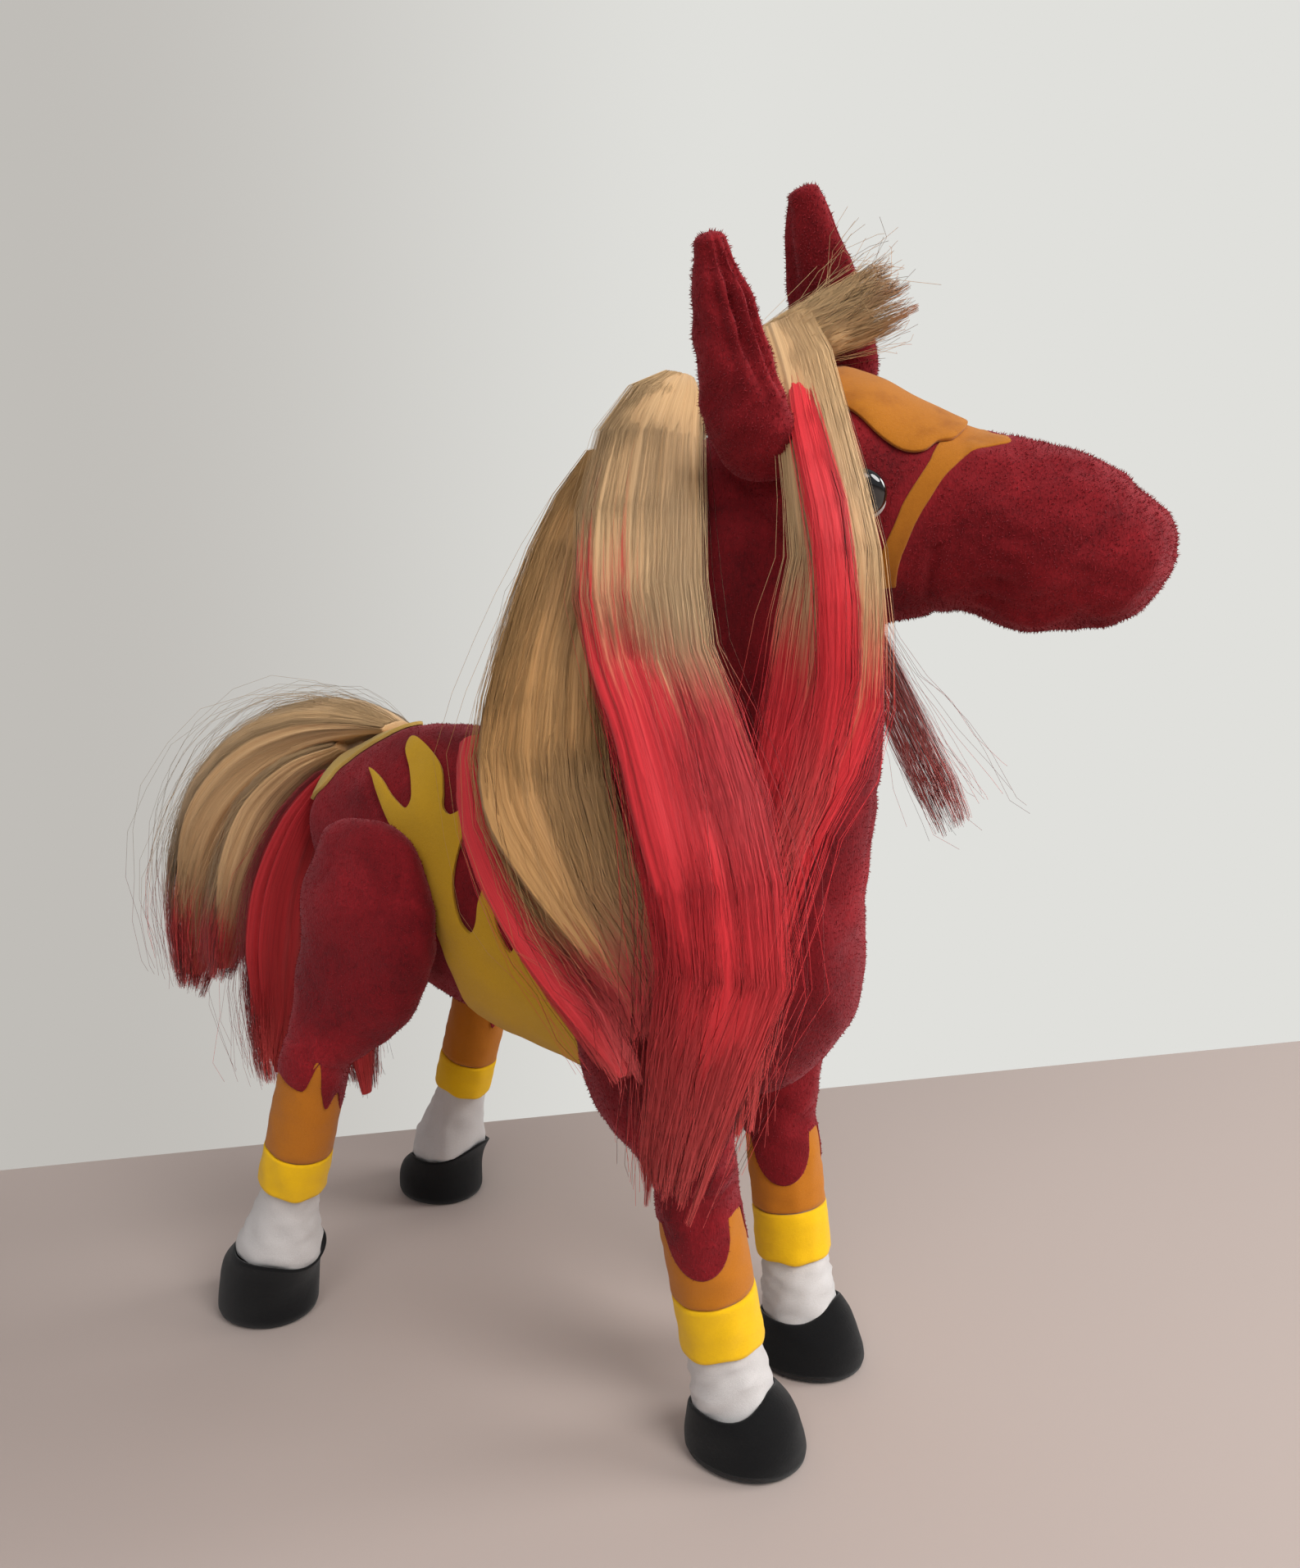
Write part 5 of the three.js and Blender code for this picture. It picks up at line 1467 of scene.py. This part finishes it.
CREST = [
    (58, 0, 274, 12, 8), (40, -1, 262, 29, 14), (24, -4, 232, 32, 16), (15, -7, 205, 28, 14),
    (8, -8, 188, 16, 10),
]
TUFT = [
    (74, -7, 284, 12, 10), (80, -5, 287, 14, 11), (88, -3, 290, 15, 11), (96, 0, 293, 16, 11),
    (103, 1, 295.5, 16, 10), (109, 2, 297.5, 15, 9),
]
TAIL_TOP = [
    (-58, 3, 184.5, 16, 7), (-68, 2, 185.5, 27, 17), (-84, 1, 184, 38, 32), (-104, 0, 176, 46, 42),
    (-122, -2, 161, 47, 43), (-135, -3, 143, 43, 37), (-144, -4, 122, 37, 29), (-149, -5, 100, 28, 20),
    (-154, -7, 78, 13, 9),
]
TAIL_UNDER = [
    (-75, 0, 178, 18, 9), (-88, -2, 172, 32, 20), (-104, -3, 158, 39, 26), (-116, -5, 136, 38, 25),
    (-127, -6, 112, 30, 18), (-136, -8, 88, 15, 9),
]
TAIL_RED = [
    (-78, 0, 168, 24, 10), (-88, -2, 154, 36, 22), (-98, -3, 132, 43, 29), (-103, -4, 106, 43, 28),
    (-106, -5, 80, 37, 23), (-107, -7, 54, 22, 12),
]
TAIL_FAR = [
    (-82, 6, 160, 12, 8), (-90, 12, 131, 18, 12), (-94, 16, 99, 19, 13), (-94, 18, 66, 16, 12),
    (-93, 19, 40, 10, 8),
]

forelock = comb("forelock_strands", FORELOCK, 2000, "forelock", clumps=12,
                nodes=["forelock_long"])
streak = comb("forelock_streak_strands", STREAK, 700, "streak", clumps=6)
for piece in forelock + streak:
    bend_between(piece, "neck", "head", (95, -30, 190), (95, -20, 262))
comb("tuft_strands", TUFT, 1500, "blond", body="head", nodes=["forelock_tuft"], clumps=20,
     wave=9, fray=1.6, trim=0.42, steps=9, core=0.66)
comb("mane_long_strands", MANE_LONG, 2500, "mane", body="neck", nodes=["mane_long"], clumps=20)
comb("mane_middle_strands", MANE_MIDDLE, 2000, "mane_rear", body="neck", nodes=["mane_middle"],
     clumps=18)
comb("mane_low_strands", MANE_LOW, 900, "red", body="neck", nodes=["mane_low"], clumps=9,
     steps=11)
comb("mane_far_strands", MANE_FAR, 420, "rosy", facing=(0.3, 1, 0), body="neck",
     nodes=["mane_far"], clumps=9, fray=2.5, steps=10, core=0)
comb("mane_crest_strands", CREST, 1300, "blond", facing=(-1, 0, 0.4), body="neck",
     nodes=["mane_crest"], clumps=16, steps=11)
tail_top = comb("tail_blond_strands", TAIL_TOP, 1800, "tail", facing=(-0.6, 0, 1), clumps=18,
                nodes=["tail_hair_blond"])
tail_under = comb("tail_under_strands", TAIL_UNDER, 1100, "tail", facing=(-0.6, 0, 1),
                  clumps=14, steps=11)
for piece in tail_top + tail_under:
    bend_between(piece, "trunk", "tail", (-60, 0, 185), (-90, 0, 180))
comb("tail_red_strands", TAIL_RED, 1700, "deep_red", facing=(-1, 0, 0.2), body="tail",
     nodes=["tail_hair_red"], clumps=16, steps=11)
comb("tail_red_far_strands", TAIL_FAR, 600, "deep_red", facing=(-1, 0.2, 0), body="tail",
     nodes=["tail_hair_red_far"], clumps=9, steps=10)

for name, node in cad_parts.items():
    if "wire" in name:
        node.data.materials.clear()
        node.data.materials.append(finishes["wire"])


# Floor, backdrop and light

WALL_FOOT = (-240.3, -35.5, 0), (206.1, 376.0, 0)  # where floor and wall meet in the photo's frame
BACKDROP_AWAY = 1.9  # metres from the camera
# Painted light: the glow of the backdrop at its shaded and at its lit side
SHADED_GLOW, LIT_GLOW = (192, 189, 184), (224, 224, 220)


def stage_plane(name, corners, colour):
    mesh = bpy.data.meshes.new(name)
    mesh.from_pydata([tuple(corner) for corner in corners], [], [(0, 1, 2, 3)])
    plane = show(name, mesh)
    material = bpy.data.materials.new(name)
    material.use_nodes = True
    shader = material.node_tree.nodes["Principled BSDF"]
    shader.inputs["Base Color"].default_value = rgb(*colour)
    shader.inputs["Roughness"].default_value = 0.9
    mesh.materials.append(material)
    return plane


def build_stage():
    """A floor that ends behind the horse, and a backdrop far off that glows with painted light, darker on one
    side and lighter on the other, with room for a look from behind.
    """
    foot, far = (place(spot) for spot in WALL_FOOT)
    way = unit(far - foot)
    out = np.array([way[1], -way[0], 0])
    start, end = foot - way * 2.5, foot + way * 3.5
    stage_plane("floor", [start, end, end + out * 4, start + out * 4], (183, 168, 161))
    middle = bpy.context.scene.camera.location - Vector(out * BACKDROP_AWAY)
    reach, up = Vector(way * 3.2), Vector((0, 0, 2.4))
    corners = [middle - reach - up, middle + reach - up, middle + reach + up, middle - reach + up]
    wall = stage_plane("backdrop", corners, (0, 0, 0))
    graph = Graph(wall.data.materials[0].node_tree)
    # Painted light: the backdrop glows, lighter towards one side, as a wall lit from that side would
    along = graph.vector("DOT_PRODUCT", own_place(graph), tuple(way)) - float(Vector(way).dot(middle))
    glow = graph.mix(along.clamped(-0.5, 0.6), rgb(*SHADED_GLOW), rgb(*LIT_GLOW))
    shader = graph.tree.nodes["Principled BSDF"]
    graph.tree.links.new(glow.socket, shader.inputs["Emission Color"])
    shader.inputs["Emission Strength"].default_value = 1.0
    shader.inputs["Specular IOR Level"].default_value = 0.0


def build_room_light():
    world = bpy.data.worlds.new("room")
    bpy.context.scene.world = world
    world.use_nodes = True
    background = world.node_tree.nodes["Background"]
    background.inputs["Color"].default_value = (0.93, 0.95, 1.0, 1)
    background.inputs["Strength"].default_value = 0.31


build_camera()
build_stage()
area_lamp("window", (1.2, 0.72, 0.78), (0.45, 0.5, 0.12), 0.8, 12.5, (1.0, 1.0, 0.99))
area_lamp("front", (0.665, -0.25, 0.7), (0.02, 0, 0.12), 0.5, 5.0, (1.0, 0.99, 0.97))
area_lamp("room", (0.3, -0.9, 0.9), (0, 0, 0.15), 0.6, 3.2, (1.0, 0.99, 0.97))
build_room_light()
bpy.context.scene.view_settings.view_transform = "Standard"
